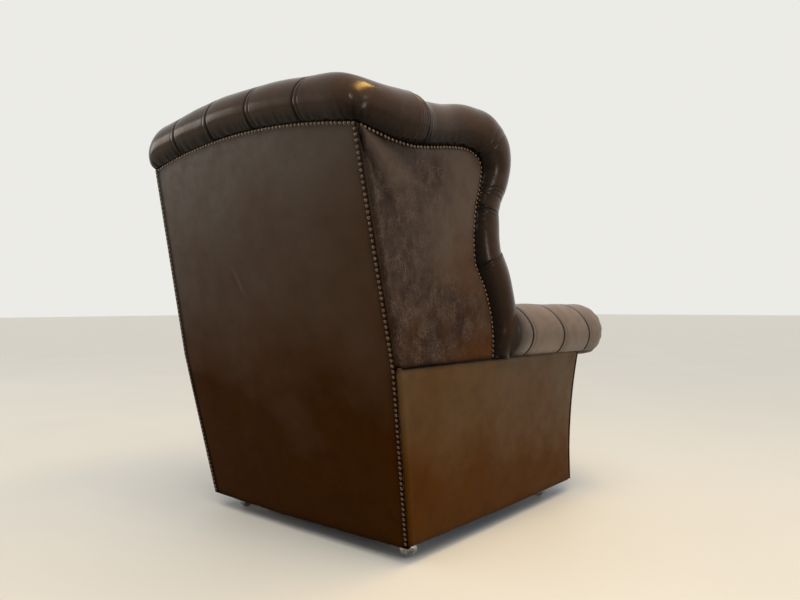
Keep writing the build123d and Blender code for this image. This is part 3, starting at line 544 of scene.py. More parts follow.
def pleat(gap, turn=14 * MM):
    """Depth of a pleat across its line: a sharp fold, its turned edge, and a soft valley under both."""
    folds = 3.6 * MM * crease(gap, 1.4 * MM) + 0.9 * MM * crease(gap + turn, 1.0 * MM)
    valley = 0.3 * MM * bump(gap + 0.5 * turn, 1.4 * turn)
    turned = 0.35 * MM * bump(gap + 0.5 * turn, 0.42 * turn)
    return folds + valley - turned


def pleat_shade(gap, turn=14 * MM):
    """Painted shade in a pleat's two folds."""
    return 1.3 * crease(gap, 1.9 * MM) + 0.35 * crease(gap + turn, 1.3 * MM) + 0.12 * bump(gap, 8 * MM)


path_run = run_length(path)
corner_runs = (path_run[left_corner], path_run[right_corner])
crest_run = path_run[left_corner:right_corner + 1]
crest_pleat_runs = [float(np.interp(-x, -crest_x[::-1], crest_run)) for x in crest_pleats]
wing_marks = [np.array((wing_reach * wing_line_shares[i][0], wing_drop * wing_line_shares[i][1]))
              for i in wing_pleat_indices]


def outline_run(forward, up):
    """Distance along the wing's outline to the point nearest a place, in shares of its reach and drop."""
    place = np.array((wing_reach * forward, wing_drop * up))
    return wing_run[np.argmin(np.linalg.norm(wing_flat - place, axis=1))]


wing_mark_runs = [outline_run(*wing_line_shares[i]) for i in wing_pleat_indices]
right_pleat_runs = [corner_runs[1] + mark for mark in wing_mark_runs]
left_pleat_runs = [corner_runs[0] - mark for mark in wing_mark_runs]
all_pleats = crest_pleat_runs + right_pleat_runs + left_pleat_runs
tight_run = outline_run(0.93, -0.06)
fine_runs = [wing_mark_runs[0] + offset * MM for offset in (-26, 20)]
fine_runs += [tight_run + offset * MM for offset in (-48, -22, 4, 30, 56)]
fine_runs = [corner_runs[1] + run for run in fine_runs] + [corner_runs[0] - run for run in fine_runs]
roll_at = spread(path_run[-1], all_pleats + fine_runs, 4.5 * MM, 0.95 * MM, 15 * MM)
roll_path = at_run(path_run, path, roll_at)
roll_outs = at_run(path_run, outs, roll_at)
corner_gap = np.minimum(np.abs(roll_at - corner_runs[0]), np.abs(roll_at - corner_runs[1]))
crest_side = (roll_at > corner_runs[0]) & (roll_at < corner_runs[1])
even_path = np.linspace(0, path_run[-1], 700)
even_ups = soften(at_run(path_run, ups, even_path)[:, None, :], 4.0)[:, 0]
roll_ups = unit(at_run(even_path, even_ups, roll_at))

core_back = 32 * MM
section_start = math.atan2(-core_height, core_depth)
section_end = math.pi + math.atan2(core_height, core_back)
section_share = np.linspace(0, 1, 56) ** 1.12
section_angle = section_start + (section_end - section_start) * section_share
section_radius = (roll_radius + 3.3 * MM * bump(section_angle - section_start, 0.45)
                  + 4.4 * MM * bump(section_angle - section_end, 0.5))
section_out = -core_depth + section_radius * np.cos(section_angle)
section_up = core_height + section_radius * np.sin(section_angle)

# At the two top corners the sections meet on a mitre, which the smoothing below then rounds
side_sign = np.where(roll_at < np.mean(corner_runs), -1, 1)[:, None]
roll_along = np.where(crest_side[:, None], back_x * side_sign, wing_forward)
roll_along = np.where((roll_at <= corner_runs[0])[:, None], wing_forward * mirror_x, roll_along)
inner_side = np.maximum(-section_out, 0)[None, :]
outer_side = np.maximum(section_out, 0)[None, :]
gap = corner_gap[:, None]
slide = np.sqrt(gap ** 2 + inner_side ** 2) - gap - outer_side * np.clip(1 - gap / (70 * MM), 0, 1) ** 2
roll = (roll_path[:, None] + section_out[None, :, None] * roll_outs[:, None]
        + section_up[None, :, None] * roll_ups[:, None] + slide[..., None] * roll_along[:, None])


def sections_at(grid, run, places):
    """Sections read at places along their run."""
    return np.stack([at_run(run, grid[:, j], places) for j in range(grid.shape[1])], axis=1)


height_share = np.clip(section_up / (core_height + roll_radius), 0, 1)
round_width = 0.6 + 8.0 * np.sin(height_share * math.pi / 2)
rounded = sections_at(soften(sections_at(roll, roll_at, even_path), round_width), even_path, roll_at)
near_corner = bump(corner_gap, 120 * MM)[:, None, None]
roll = roll * (1 - near_corner) + rounded * near_corner

# Pleats, gathers along the nails and the wrinkles of the tight bends
roll_normals = normals(roll)
inside_out = np.mean(np.sum(roll_normals[:, 12] * roll_outs, axis=1)) < 0
if inside_out:
    roll_normals = -roll_normals
s_grid, t_grid = np.meshgrid(roll_at, section_share, indexing="ij")
wander = 2.5 * MM * lattice_noise(t_grid * 4, s_grid * 3, 11)
depth = np.zeros_like(s_grid)
# shade holds painted shade: it darkens the leather in the pleats, gathers and wrinkles, above the nails and
# at the feet.
shade = np.zeros_like(s_grid)
hold = np.clip(0.35 + t_grid / 0.12, 0, 1)
for index, mark in enumerate(all_pleats):
    turn = -1 if mark > np.mean(corner_runs) else 1
    lean = crest_leans[index] if index < len(crest_leans) else 0.0
    gap = (s_grid - mark + wander - lean * np.clip((t_grid - 0.18) / 0.36, 0, 1) ** 1.2) * turn
    depth += pleat(gap) * hold
    shade += pleat_shade(gap)
for mark in (right_pleat_runs[0], left_pleat_runs[0]):
    for offset, strength in ((-27, 0.3), (-20, 0.5), (-13, 0.4), (-6, 0.5), (7, 0.5), (13, 0.35), (20, 0.25)):
        lean = 16 * MM * (t_grid - 0.35) * (1 if offset > 0 else -1)
        waver = 1.5 * MM * lattice_noise(t_grid * 9, offset, 17)
        line = crease(s_grid - mark - offset * MM + lean + waver, 1.8 * MM)
        depth += 4.6 * MM * strength * line * bump(t_grid - 0.36, 0.24)
        shade += 0.35 * strength * line * bump(t_grid - 0.36, 0.24)
over_roll = np.sin(t_grid * math.pi)
puff = 0.5 * MM * (1 - bump(nearness(roll_at, all_pleats), 45 * MM))[:, None] * over_roll
from_corner = np.where(roll_at > np.mean(corner_runs), roll_at - corner_runs[1], corner_runs[0] - roll_at)
mark_runs = [outline_run(*shares) for shares in wing_line_shares]
fuller = np.interp(from_corner, [-110 * MM] + mark_runs, [0.0] + wing_fullness)
fuller = soften(fuller[:, None, None], 6.0)[:, 0] * over_roll ** 0.8
gathers = lattice_noise(s_grid / (7 * MM), t_grid * 2, 5) * 1.1 * MM * bump(t_grid, 0.09)
for centre in corner_runs:
    for offset, strength in ((-34, 0.4), (-22, 0.8), (-12, 0.6), (-3, 1.0), (8, 0.7), (19, 0.5)):
        fanned = (s_grid - centre) / (1 + 2.2 * t_grid)
        line = crease(fanned - offset * MM, 1.5 * MM) * bump(t_grid - 0.05, 0.13) * strength
        depth += 2.2 * MM * line
        shade += 0.45 * line
wrinkles = np.zeros_like(s_grid)
for start, side in ((corner_runs[1], 1), (corner_runs[0], -1)):
    from_bend = (s_grid - start) * side - tight_run + 5 * MM * lattice_noise(t_grid * 5, s_grid * 3, 3)
    for offset, lean, strength in ((-42, 20, 0.7), (-31, 8, 1.0), (38, -16, 1.0), (46, -30, 0.8),
                                   (57, -10, 0.6)):
        line = crease(from_bend - offset * MM - lean * MM * (t_grid - 0.2), 1.3 * MM)
        wrinkles += line * bump(t_grid - 0.18, 0.17) * strength
depth += 1.9 * MM * wrinkles
shade += 0.35 * wrinkles
swell = 1.2 * MM * lattice_noise(s_grid * 14, t_grid * 4, 21)
foot_share = np.clip(np.minimum(s_grid, path_run[-1] - s_grid) / (62 * MM), 0, 1)
drawn_in = 24 * MM * (1 - eased(foot_share)) * over_roll ** 0.8
roll = roll + roll_normals * (puff + fuller + gathers + swell - depth - drawn_in)[..., None]
# Painted shade: near black just above the nails, dark at the roll's two feet and along its inner edge.
shade = shade + 0.75 * bump(foot_share, 0.12)
shade = np.clip(shade + 0.95 * bump(t_grid, 0.15) + 0.30 * bump(t_grid - 1, 0.10), 0, 1)
sheet_piece("edge_roll", roll, roll_leather, "roll_leather",
            ("crest_roll", "wing_roll_right", "wing_roll_left"), shade, flip=inside_out, fill=hide_fill)


# Outer back: one hide, drawn over the frame and nailed along its edges
def panel_shade(u, v):
    """Painted shade along a panel's edges and hem, with a painted shadow inside the left-hand nail row: dark
    where it is 1.
    """
    edge = np.minimum(np.minimum(u, 1 - u), 1 - v)
    left_nail_gap_shadow = bump(1 - u - 0.020, 0.011)
    return 0.85 * bump(edge, 0.014) + 0.45 * bump(v, 0.01) + 0.8 * left_nail_gap_shadow


columns, rows = 120, 150
v_grid, s_grid = np.meshgrid(np.linspace(0, 1, rows), np.linspace(-1, 1, columns), indexing="ij")
up = v_grid * crest_line(s_grid * half_shoulder)
x = s_grid * back_half(up)
from_side = (1 - np.abs(s_grid)) * half_waist
edge = np.minimum(from_side, (1 - v_grid) * shoulder_up)
hem_sag = -3.5 * MM * np.sin(math.pi * (s_grid + 1) / 2) + 1.2 * MM * lattice_noise(s_grid * 5, 0, 8)
up = up + hem_sag * bump(v_grid, 0.06)
fullness = 0.5 + 0.5 * np.sin(math.pi * np.clip(v_grid, 0.05, 0.95))
padding = 5.5 * MM * (1 - np.exp(-edge / (45 * MM))) * fullness

# A slanting dent over the middle of the back
dent_x, dent_up, dent_cos, dent_sin = 85 * MM, 615 * MM, 0.88, 0.47
across_dent = (x - dent_x) * dent_cos - (up - dent_up) * dent_sin
along_dent = (x - dent_x) * dent_sin + (up - dent_up) * dent_cos
dents = 1.3 * MM * bump(across_dent + 9 * MM, 8 * MM) - 2.0 * MM * bump(across_dent - 5 * MM, 8 * MM)
dents = dents * bump(along_dent, 34 * MM) + (1.2 * MM * lattice_noise(s_grid * 2.2, v_grid * 3, 14)
                                             + 0.35 * MM * lattice_noise(s_grid * 9, v_grid * 14, 15))
tension = 0.5 * MM * lattice_noise(up / (14 * MM), s_grid * 0.8, 16) * bump(from_side, 22 * MM)
out = 1.5 * MM + padding + (dents + tension) * np.clip(edge / (12 * MM), 0, 1)
back_grid = on_back(x, up, -out)
hem_turn = [back_grid[:1] + (back_in * inward + np.array((0, 0, -drop)))[None, None]
            for inward, drop in ((16 * MM, -1.5 * MM), (8 * MM, 0.6 * MM), (2.5 * MM, 1.0 * MM))]
# Painted shade on the turned-under hem and along the edges.
shade = np.concatenate([np.full((3, columns), 0.5), panel_shade((s_grid + 1) / 2, v_grid)])
sheet_piece("outer_back", np.concatenate(hem_turn + [back_grid]), outer_leather, "outer_leather",
            ("outside_back",), shade, fill=hide_fill)


# Outer wings: hide drawn tight from the top back corner
def coons(left, right, low, high):
    """A patch between four edges: left and right run upward, low and high run forward."""
    w = np.linspace(0, 1, len(left))[:, None, None]
    u = np.linspace(0, 1, len(low))[None, :, None]
    return ((1 - w) * low[None] + w * high[None] + (1 - u) * left[:, None] + u * right[:, None]
            - (1 - u) * (1 - w) * low[0] - u * (1 - w) * low[-1] - (1 - u) * w * high[0] - u * w * high[-1])


def resample(points, count):
    """A row of points at an even spacing."""
    run = run_length(points)
    return np.column_stack([np.interp(np.linspace(0, run[-1], count), run, points[:, k])
                            for k in range(points.shape[1])])


def rear_forward(up):
    """The wing's rear edge follows the back's rake."""
    return -up * rake_tan


turn_place = np.array((0.928 * wing_reach, -0.045 * wing_drop))
wing_turn = np.argmin(np.linalg.norm(wing_flat - turn_place, axis=1))
wing_foot_up = -wing_drop / wing_up[2]
wing_rows, wing_columns = 110, 90
rear_up = np.linspace(wing_foot_up, 0, wing_rows)
rear_edge = np.column_stack([rear_forward(rear_up), rear_up])
front_edge = resample(wing_flat[wing_turn:][::-1], wing_rows)
foot_edge = resample(np.array([rear_edge[0], front_edge[0]]), wing_columns)
top_edge = resample(wing_flat[:wing_turn + 1], wing_columns)


def wing_field():
    """Places over the wing: shares upward and forward, and distances forward and up from its top corner."""
    flat = coons(rear_edge, front_edge, foot_edge, top_edge)
    w, u = np.meshgrid(np.linspace(0, 1, wing_rows), np.linspace(0, 1, wing_columns), indexing="ij")
    return w, u, flat[..., 0], flat[..., 1]


def wing_cover(seed):
    """The right-hand outer wing's face: a grid of points, its shade and its wear."""
    w, u, forward, up = wing_field()
    from_rear = forward - rear_forward(up)
    edge = np.minimum(np.minimum(from_rear, (1 - u) * 0.3), np.minimum((1 - w) * 0.45, w * 0.45 + 0.02))
    tuck = 1 - np.exp(-np.maximum(edge, 0) / (22 * MM))
    reach = np.hypot(forward, up)
    angle = np.degrees(np.arctan2(-up, forward + 1e-9))
    drawn = np.zeros_like(forward)
    fade = np.exp(-(reach / (150 * MM)) ** 1.5) * np.clip(reach / (25 * MM), 0, 1)
    for direction, deep, wide in ((14, 6.0, 7.0), (38, -3.6, 9.0), (61, 7.5, 7.0)):
        waver = 4 * lattice_noise(reach * 20, direction, seed)
        drawn += deep * MM * bump(angle - direction - waver, wide) * fade
    fallen = -up / wing_drop
    welt_at = 13 * MM + 8 * MM * np.clip(fallen, 0, 1) + 34 * MM * np.clip(fallen - 0.68, 0, 1) ** 1.4
    behind_welt = 2.0 * MM * bump(from_rear - 0.45 * welt_at, 4.5 * MM)
    ridge = 3.6 * MM * crease(from_rear - welt_at, 4.5 * MM) - behind_welt
    hollow = -5.0 * MM * tuck * np.sin(math.pi * w) ** 0.7 * np.sin(math.pi * u) ** 0.8
    slack = (0.9 * MM * lattice_noise(forward * 34, up * 9, seed + 1)
             + 0.5 * MM * lattice_noise(forward * 90, up * 30, seed + 2))
    out = 1.2 * MM + 3.5 * MM * tuck + hollow + ridge - drawn + slack * tuck
    # Painted shade: in the gap by the rear nails, along the edges, in the drawn folds and along the foot at
    # the seam.
    shade = 0.5 * bump(from_rear - 9 * MM, 6 * MM) + 0.5 * bump(edge, 6 * MM) + 0.35 * drawn / (4.6 * MM)
    shade = shade + 0.9 * bump(w, 0.016)
    worn = 1 / (1 + np.exp((from_rear - 175 * MM) / (32 * MM)))
    worn = worn + 0.95 * bump(np.hypot((forward - 330 * MM) / 1.25, (up + 395 * MM) / 0.8), 95 * MM)
    worn = worn + 0.85 * bump(np.hypot(forward - 250 * MM, up + 75 * MM), 62 * MM)
    spared = bump(angle - 36, 16) * np.exp(-(reach / (190 * MM)) ** 4)
    worn = worn * (1 - 0.95 * spared) * (1 - 0.5 * bump(from_rear, 12 * MM))
    return on_wing(forward, up, out), np.clip(shade, 0, 1), np.clip(worn + 0.10, 0, 1)


sheet_pair("outer_wing", wing_cover, (31, 57), wing_leather, "outer_leather", "outside_wing", fill=hide_fill)


# Outer arms: from the back edge to the front, hem to seam
side_front = base_depth - 12 * MM


def side_half(place, w):
    """Half width of the side cover: forward of the back hem, and from the hem (0) to the seam (1)."""
    marks = (0, 330 * MM, side_front)
    foot = np.interp(place, marks, (half_foot, 367 * MM, 374 * MM))
    seam = np.interp(place, marks, (half_waist, 399 * MM, 404 * MM))
    belly = np.interp(place, marks, (-2 * MM, 2 * MM, 12 * MM))
    return foot + (seam - foot) * w - belly * 4 * w * (1 - w)


def side_cover(seed):
    """The right-hand outer arm's face: a grid of points and its shade."""
    rows, columns = 80, 140
    w, u = np.meshgrid(np.linspace(0, 1, rows), np.linspace(0, 1, columns), indexing="ij")
    height = w * waist_rise
    rear = -height * rake_tan
    place = rear + (base_depth - 2 * MM - rear) * u
    from_rear, from_front = place - rear, base_depth - place
    from_seam = waist_rise - height
    edge = np.minimum(np.minimum(from_rear, from_front), np.minimum(height * 1.2 + 4 * MM, from_seam))
    tuck = 1 - np.exp(-np.maximum(edge, 0) / (20 * MM))
    out = 1.0 * MM + 3.4 * MM * tuck + 1.3 * MM * tuck * lattice_noise(u * 3, w * 2.4, seed)
    out += 0.5 * MM * tuck * lattice_noise(u * 12, w * 7, seed + 1)
    out += 2.2 * MM * bump(from_seam - 3 * MM, 4 * MM) + 1.6 * MM * bump(from_rear - 12 * MM, 6 * MM)
    sag = (-3.0 * MM * np.sin(math.pi * u) + 1.3 * MM * lattice_noise(u * 6, 0.3, seed + 2)) * bump(w, 0.07)
    round_front = 9 * MM * bump(from_front, 7 * MM)
    x = -(side_half(np.minimum(place, side_front), w) + out - round_front)
    grid = np.stack([x, back_foot_y - place, hem_height + height + sag], axis=-1)
    hem_turn = [grid[:1] + np.array((inward * MM, 0, -drop * MM))
                for inward, drop in ((14, -1.5), (7, 0.4), (2, 0.8))]
    seam_turn = [grid[-1:] + np.array((inward * MM, 0, rise * MM))
                 for inward, rise in ((1.6, 1.4), (5, 1.2), (11, -1.5))]
    # Painted shade: along the rear edge, under the seam, along the hem, and on the turned hem and seam.
    shade = 0.40 * bump(from_rear, 8 * MM) + 0.55 * bump(from_seam, 5 * MM) + 0.35 * bump(height, 9 * MM)
    shade = np.concatenate([np.full((3, columns), 0.6), np.clip(shade, 0, 1), np.full((3, columns), 1.0)])
    return np.concatenate(hem_turn + [grid] + seam_turn), shade


sheet_pair("outer_arm", side_cover, (71, 83), side_leather, "outer_leather", "outside_arm", fill=hide_fill)

# Arm rolls: pleated over the top, closed by a full rounded scroll
arm_x, arm_radius, arm_lift = 372 * MM, 74 * MM, 69 * MM
arm_pleat_places = [base_depth * share for share in (0.548, 0.757, 0.951)]
scroll_front = back_foot_y + roll_reach
arm_start = 316 * MM
arm_angle = np.linspace(math.radians(-66), math.radians(294), 72, endpoint=False)


def arm_roll_grid(seed):
    """The right-hand arm roll: closed sections from inside the wing roll to the scroll's disc."""
    marks = [place - arm_start for place in arm_pleat_places]
    tube = spread(base_depth - arm_start, marks, 5 * MM, 1.0 * MM, 15 * MM) + arm_start
    turn = np.linspace(0, 1, 34)[1:]
    scroll = base_depth + (scroll_front - base_depth) * np.sin(turn * math.pi / 2) ** 0.9
    places = np.concatenate([tube, scroll])
    growth = np.clip((places - arm_pleat_places[0]) / (base_depth - arm_pleat_places[0]), 0, 1)
    radius = arm_radius + 9 * MM * growth
    swelling = np.clip((tube - arm_start) / (40 * MM), 0, 1)
    radius[:len(tube)] *= 0.45 + 0.55 * eased(swelling) ** 0.7
    cap = np.clip((scroll - base_depth - 8 * MM) / (scroll_front - base_depth - 8 * MM), 0, 1)
    radius[len(tube):] *= 1 - 0.38 * (1 - np.sqrt(1 - cap ** 2.4 * 0.999))
    s, a = np.meshgrid(places, arm_angle, indexing="ij")
    wander = 3 * MM * lattice_noise(a * 1.6, s * 5, seed)
    depth, shade = np.zeros_like(s), np.zeros_like(s)
    for index, mark in enumerate(arm_pleat_places):
        gap = s - mark + wander + (38 + 6 * index) * MM * (0.5 + 0.5 * np.sin(a)) ** 2.2
        depth += pleat(-gap, 16 * MM)
        # Painted shade in the pleats' folds.
        shade += pleat_shade(-gap, 16 * MM) + 0.7 * crease(gap, 3.2 * MM)
        shade += 0.25 * crease(gap - 16 * MM, 2.4 * MM)
    puff = 1.0 * MM * (1 - bump(nearness(places, arm_pleat_places), 34 * MM))[:, None]
    ends = np.clip((s - base_depth - 18 * MM) / (scroll_front - base_depth - 18 * MM), 0, 1)
    folded = 1 - np.abs(np.sin(a * 8 + 0.6 * lattice_noise(a * 3, s * 30, seed + 1)))
    gathers = 3.6 * MM * folded ** 1.5 * ends ** 0.6
    swell = 1.1 * MM * lattice_noise(s * 16, a * 1.2, seed + 2)
    r = radius[:, None] + puff + swell - depth - gathers + 1.5 * MM * ends
    centre_x = -(arm_x + 10 * MM * growth)
    x = centre_x[:, None] - r * np.cos(a)
    z = seam_height + arm_lift - 4 * MM - 9 * MM * growth[:, None] + r * np.sin(a)
    hang = np.clip((s - base_depth - 6 * MM) / (16 * MM), 0, 1)
    floor = seam_height + 0.8 * MM - 9 * MM * hang
    z = np.where(z < floor, floor + (z - floor) * (0.12 + 0.33 * hang), z)
    y = back_foot_y - s
    # Painted shade: along the foot at the seam, in the scroll's gathers, and dark over the roll's start
    # inside the wing roll.
    shade += 0.5 * bump(z - seam_height, 9 * MM) + 0.55 * gathers / (3.6 * MM)
    shade += 0.85 * bump(s - arm_start - 30 * MM, 52 * MM)
    return np.stack([x, y, z], axis=-1), np.clip(shade, 0, 1)


def closed_piece(name, grid, material, slot, nodes, shade, flip=False, **rest):
    """Closed sections along a line, with both ends filled."""
    rows, columns = grid.shape[:2]
    faces = grid_faces(rows, columns, closed=True)
    verts = np.vstack([grid.reshape(-1, 3), grid[0].mean(0)[None], grid[-1].mean(0)[None]])
    first, last = rows * columns, rows * columns + 1
    row = (rows - 1) * columns
    faces += [(first, (j + 1) % columns, j) for j in range(columns)]
    faces += [(last, row + j, row + (j + 1) % columns) for j in range(columns)]
    if flip:
        faces = [face[::-1] for face in faces]
    # Painted shade on the end caps: full on the first, half on the last.
    values = np.concatenate([np.asarray(shade).ravel(), [1.0, 0.5]])
    return mesh_piece(name, verts, faces, material, slot, nodes, values, **rest)


for side, seed, mirrored in (("right", 91, False), ("left", 97, True)):
    arm_grid, arm_shade = arm_roll_grid(seed)
    if mirrored:
        arm_grid = arm_grid * mirror_x
    closed_piece(f"rolled_arm_{side}", arm_grid, arm_sheen_and_wear_leather, "roll_leather", (f"arm_roll_{side}",),
                 arm_shade, flip=mirrored, fill=hide_fill)


# Upholstery nails and covered buttons
NAIL_PROFILE = ((1.00, -0.9), (1.00, 0.2), (0.90, 1.25), (0.68, 2.25), (0.36, 2.85), (0.0, 3.1))
# Painted shade at the rim of each nail, where it meets the leather: 1 at the rim, 0 on the crown.
NAIL_SHADES = (1.0, 0.9, 0.45, 0.1, 0.0, 0.0)
BUTTON_PROFILE = ((0.80, -1.5), (0.97, 0.2), (1.00, 2.0), (0.93, 4.2), (0.74, 5.9), (0.42, 6.9), (0.0, 7.2))
# Painted shade at the rim of each button, down in its dimple: 1 at the rim, 0 on the crown.
BUTTON_SHADES = (1.0, 0.9, 0.35, 0.1, 0.0, 0.0)
button_radius = 11.5 * MM


def studs(name, centres, facings, alongs, radii, profile, shades, material, slot, nodes=(), sides=14):
    """Round heads of one profile, rim to top, each with its own place, direction and radius."""
    angle = np.linspace(0, 2 * math.pi, sides, endpoint=False)
    verts, faces, values = [], [], []
    for i in range(len(centres)):
        base = len(verts)
        across = np.cross(facings[i], alongs[i])
        for k, (share, height) in enumerate(profile[:-1]):
            for a in angle:
                verts.append(centres[i] + radii[i] * share * (math.cos(a) * alongs[i] + math.sin(a) * across)
                             + facings[i] * height * MM)
                values.append(shades[k])
        verts.append(centres[i] + facings[i] * profile[-1][1] * MM)
        values.append(0)
        for k in range(len(profile) - 2):
            for j in range(sides):
                faces.append((base + k * sides + j, base + k * sides + (j + 1) % sides,
                              base + (k + 1) * sides + (j + 1) % sides, base + (k + 1) * sides + j))
        top = base + (len(profile) - 2) * sides
        faces += [(top + j, top + (j + 1) % sides, base + (len(profile) - 1) * sides) for j in range(sides)]
        faces.append(tuple(base + j for j in reversed(range(sides))))
    return mesh_piece(name, verts, faces, material, slot, nodes, values)


def square_to(facings, hints):
    """Directions near the hints, square to the facings."""
    return unit(hints - facings * np.sum(hints * facings, axis=1, keepdims=True))


def nails(name, path, outward, seed):
    """A row of bronze nails, each a little out of line."""
    path = np.asarray(path, float)
    run = run_length(path)
    count = int(run[-1] / nail_pitch)
    random = np.random.RandomState(seed)
    at = (np.arange(count) + 0.5) * run[-1] / count + random.uniform(-0.6, 0.6, count) * MM
    tilts = random.uniform(-0.09, 0.09, (count, 3))
    facing = unit(at_run(run, np.broadcast_to(outward, path.shape), at) + tilts)
    along = square_to(facing, at_run(run, np.gradient(path, axis=0), at))
    radii = nail_radius * random.uniform(0.95, 1.04, count)
    centres = at_run(run, path, at) + facing * 0.5 * MM
    return studs(name, centres, facing, along, radii, NAIL_PROFILE, NAIL_SHADES, bronze, "nail_bronze")


def buttons(name, places, facings, node):
    """Leather-covered buttons at places along facings."""
    places, facings = np.asarray(places, float), np.asarray(facings, float)
    along = square_to(facings, np.tile((0.0, 0.05, 1.0), (len(places), 1)))
    radii = np.full(len(places), button_radius)
    return studs(name, places, facings, along, radii, BUTTON_PROFILE, BUTTON_SHADES, roll_leather,
                 "button_leather", (node,), 20)


edge_in = 5.5 * MM
side_up = np.linspace(3 * MM, shoulder_up - 9 * MM, 200)
side_x = back_half(side_up) - edge_in + 1.0 * MM
left_inset = 2.5 * MM
nails("nails_back_right", on_back(-side_x, side_up, -2.2 * MM), -back_in, 1)
nails("nails_back_left", on_back(side_x - left_inset, side_up, -2.6 * MM), -back_in, 2)
top_x = np.linspace(-half_shoulder - 0.5 * MM, half_shoulder + 0.5 * MM, 200)
nails("nails_back_top", on_back(top_x, crest_line(top_x) - edge_in, -2.2 * MM), -back_in, 3)
wing_nail_flat = smooth_curve([(wing_reach * s, wing_drop * t) for s, t in wing_line_shares], 3 * MM)
flat_run = unit(np.gradient(wing_nail_flat, axis=0))
inner = np.column_stack([flat_run[:, 1], -flat_run[:, 0]])
wing_nail_flat = (wing_nail_flat + inner * edge_in)[2:-1]
wing_nail_path = on_wing(wing_nail_flat[:, 0], wing_nail_flat[:, 1], 2.0 * MM)
nails("nails_wing_right", wing_nail_path, wing_out, 4)
nails("nails_wing_left", wing_nail_path * mirror_x, wing_out * mirror_x, 5)


# Tufting: folds run between the buttons, and each button sits in a dimple
def segment_gap(px, py, segments):
    """Distance from points to the nearest of some straight folds."""
    best = np.full(px.shape, 1.0)
    for (ax, ay), (bx, by) in segments:
        dx, dy = bx - ax, by - ay
        along = np.clip(((px - ax) * dx + (py - ay) * dy) / (dx * dx + dy * dy), 0, 1)
        best = np.minimum(best, np.hypot(px - ax - along * dx, py - ay - along * dy))
    return best


def point_gap(px, py, points):
    """Distance from points to the nearest button."""
    return np.min([np.hypot(px - bx, py - by) for bx, by in points], axis=0)


def tufting(px, py, points, segments, deep, full, wide, seed):
    """Height of buttoned stuffing over its face, and its painted shade."""
    fold = segment_gap(px, py, segments)
    fold = fold + 1.2 * MM * lattice_noise(px * 60, py * 60, seed)
    spot = point_gap(px, py, points)
    pillow = full * (1 - np.exp(-(np.maximum(fold, 0) / wide) ** 1.25))
    dimple = deep * bump(spot, 15 * MM) + 0.45 * deep * bump(spot, 32 * MM)
    line = 2.6 * MM * crease(fold, 1.8 * MM) * (1 - bump(spot, 9 * MM))
    turned = np.arctan2(py, px) * 5 + px * 70
    rays = 0.7 * MM * lattice_noise(turned, py * 70, seed + 1) * bump(spot - 22 * MM, 14 * MM)
    swell = 0.8 * MM * lattice_noise(px * 22, py * 22, seed + 2)
    # Painted shade in the folds and round each button's dimple.
    shade = 0.75 * crease(fold, 3.2 * MM) + 0.55 * bump(spot, 17 * MM)
    return pillow - full - dimple - line + rays + swell, np.clip(shade, 0, 1)


# Inside back
pad_half, pad_side, pad_foot, side_gap = 286 * MM, 92 * MM, 292 * MM, 87 * MM
pad_marks, pad_crowns = (pad_foot, 560 * MM, crest_up), (128 * MM, 136 * MM, 112 * MM)
lining_thick, tuft_lift = 4 * MM, 1 * MM
button_pitch, button_row, tuft_depth = 138 * MM, 92 * MM, 15 * MM
back_rows = []
for row in range(6):
    count = 3 if row % 2 else 4
    up = shoulder_up - 96 * MM - button_row * row
    back_rows.append([(button_pitch * (index - (count - 1) / 2), up) for index in range(count)])
back_points = [point for row in back_rows for point in row]


def back_reach(up):
    """Half width of the back's stuffing: narrow between the arms, wider between the wings."""
    marks = (waist_up, waist_up + 25 * MM, shoulder_up, crest_up)
    wide = back_half(waist_up + 25 * MM) - side_gap
    return np.interp(up, marks, (pad_half, wide, half_shoulder - side_gap, pad_half))


def back_depth(x, up):
    """Depth of the back's stuffing, inward of the outer cover."""
    return pad_side + (np.interp(up, pad_marks, pad_crowns) - pad_side) * (1 - (x / back_reach(up)) ** 2)


back_folds = []
for upper, lower in zip(back_rows, back_rows[1:]):
    back_folds += [(a, b) for a in upper for b in lower if abs(a[0] - b[0]) < button_pitch * 0.6]
back_folds += [(a, (place, float(crest_line(place)))) for a, place in zip(back_rows[0], crest_pleats)]
back_folds += [(row[end], (math.copysign(pad_half, row[end][0]), row[end][1]))
               for row in back_rows[::2] for end in (0, -1)]
back_folds += [(a, (a[0], pad_foot)) for a in back_rows[-1]]
rows, columns = 150, 132
v, s = np.meshgrid(np.linspace(0, 1, rows), np.linspace(-1, 1, columns), indexing="ij")
up = pad_foot + (crest_line(s * pad_half) + 3 * MM - pad_foot) * v
x = s * (back_reach(up) + 4 * MM)
tufts, tuft_shade = tufting(x, up, back_points, back_folds, tuft_depth - tuft_lift, 9 * MM, 20 * MM, 121)
to_top, to_side = np.maximum(crest_line(x) - up, 0), (1 - np.abs(s)) * pad_half
depth = back_depth(x, up) + 4 * MM + tufts
depth = depth - (depth - 66 * MM) * np.exp(-(to_top / (30 * MM)) ** 1.1)
depth = depth - 34 * MM * np.exp(-(to_side / (15 * MM)) ** 1.2)
# Painted shade: in the tufting's folds and dimples, and along the top and side edges.
shade = np.clip(tuft_shade + 0.5 * bump(to_top, 8 * MM) + 0.5 * bump(to_side, 8 * MM), 0, 1)
sheet_piece("inner_back", on_back(x, up, depth), inside_leather, "inside_leather", ("inside_back",), shade,
            flip=True, thickness=lining_thick, fill=pad_fill)
seats = [on_back(x, up, back_depth(x, up) - tuft_depth - tuft_lift) for x, up in back_points]
buttons("back_tuft_buttons", seats, np.tile(back_in, (len(seats), 1)), "back_buttons")


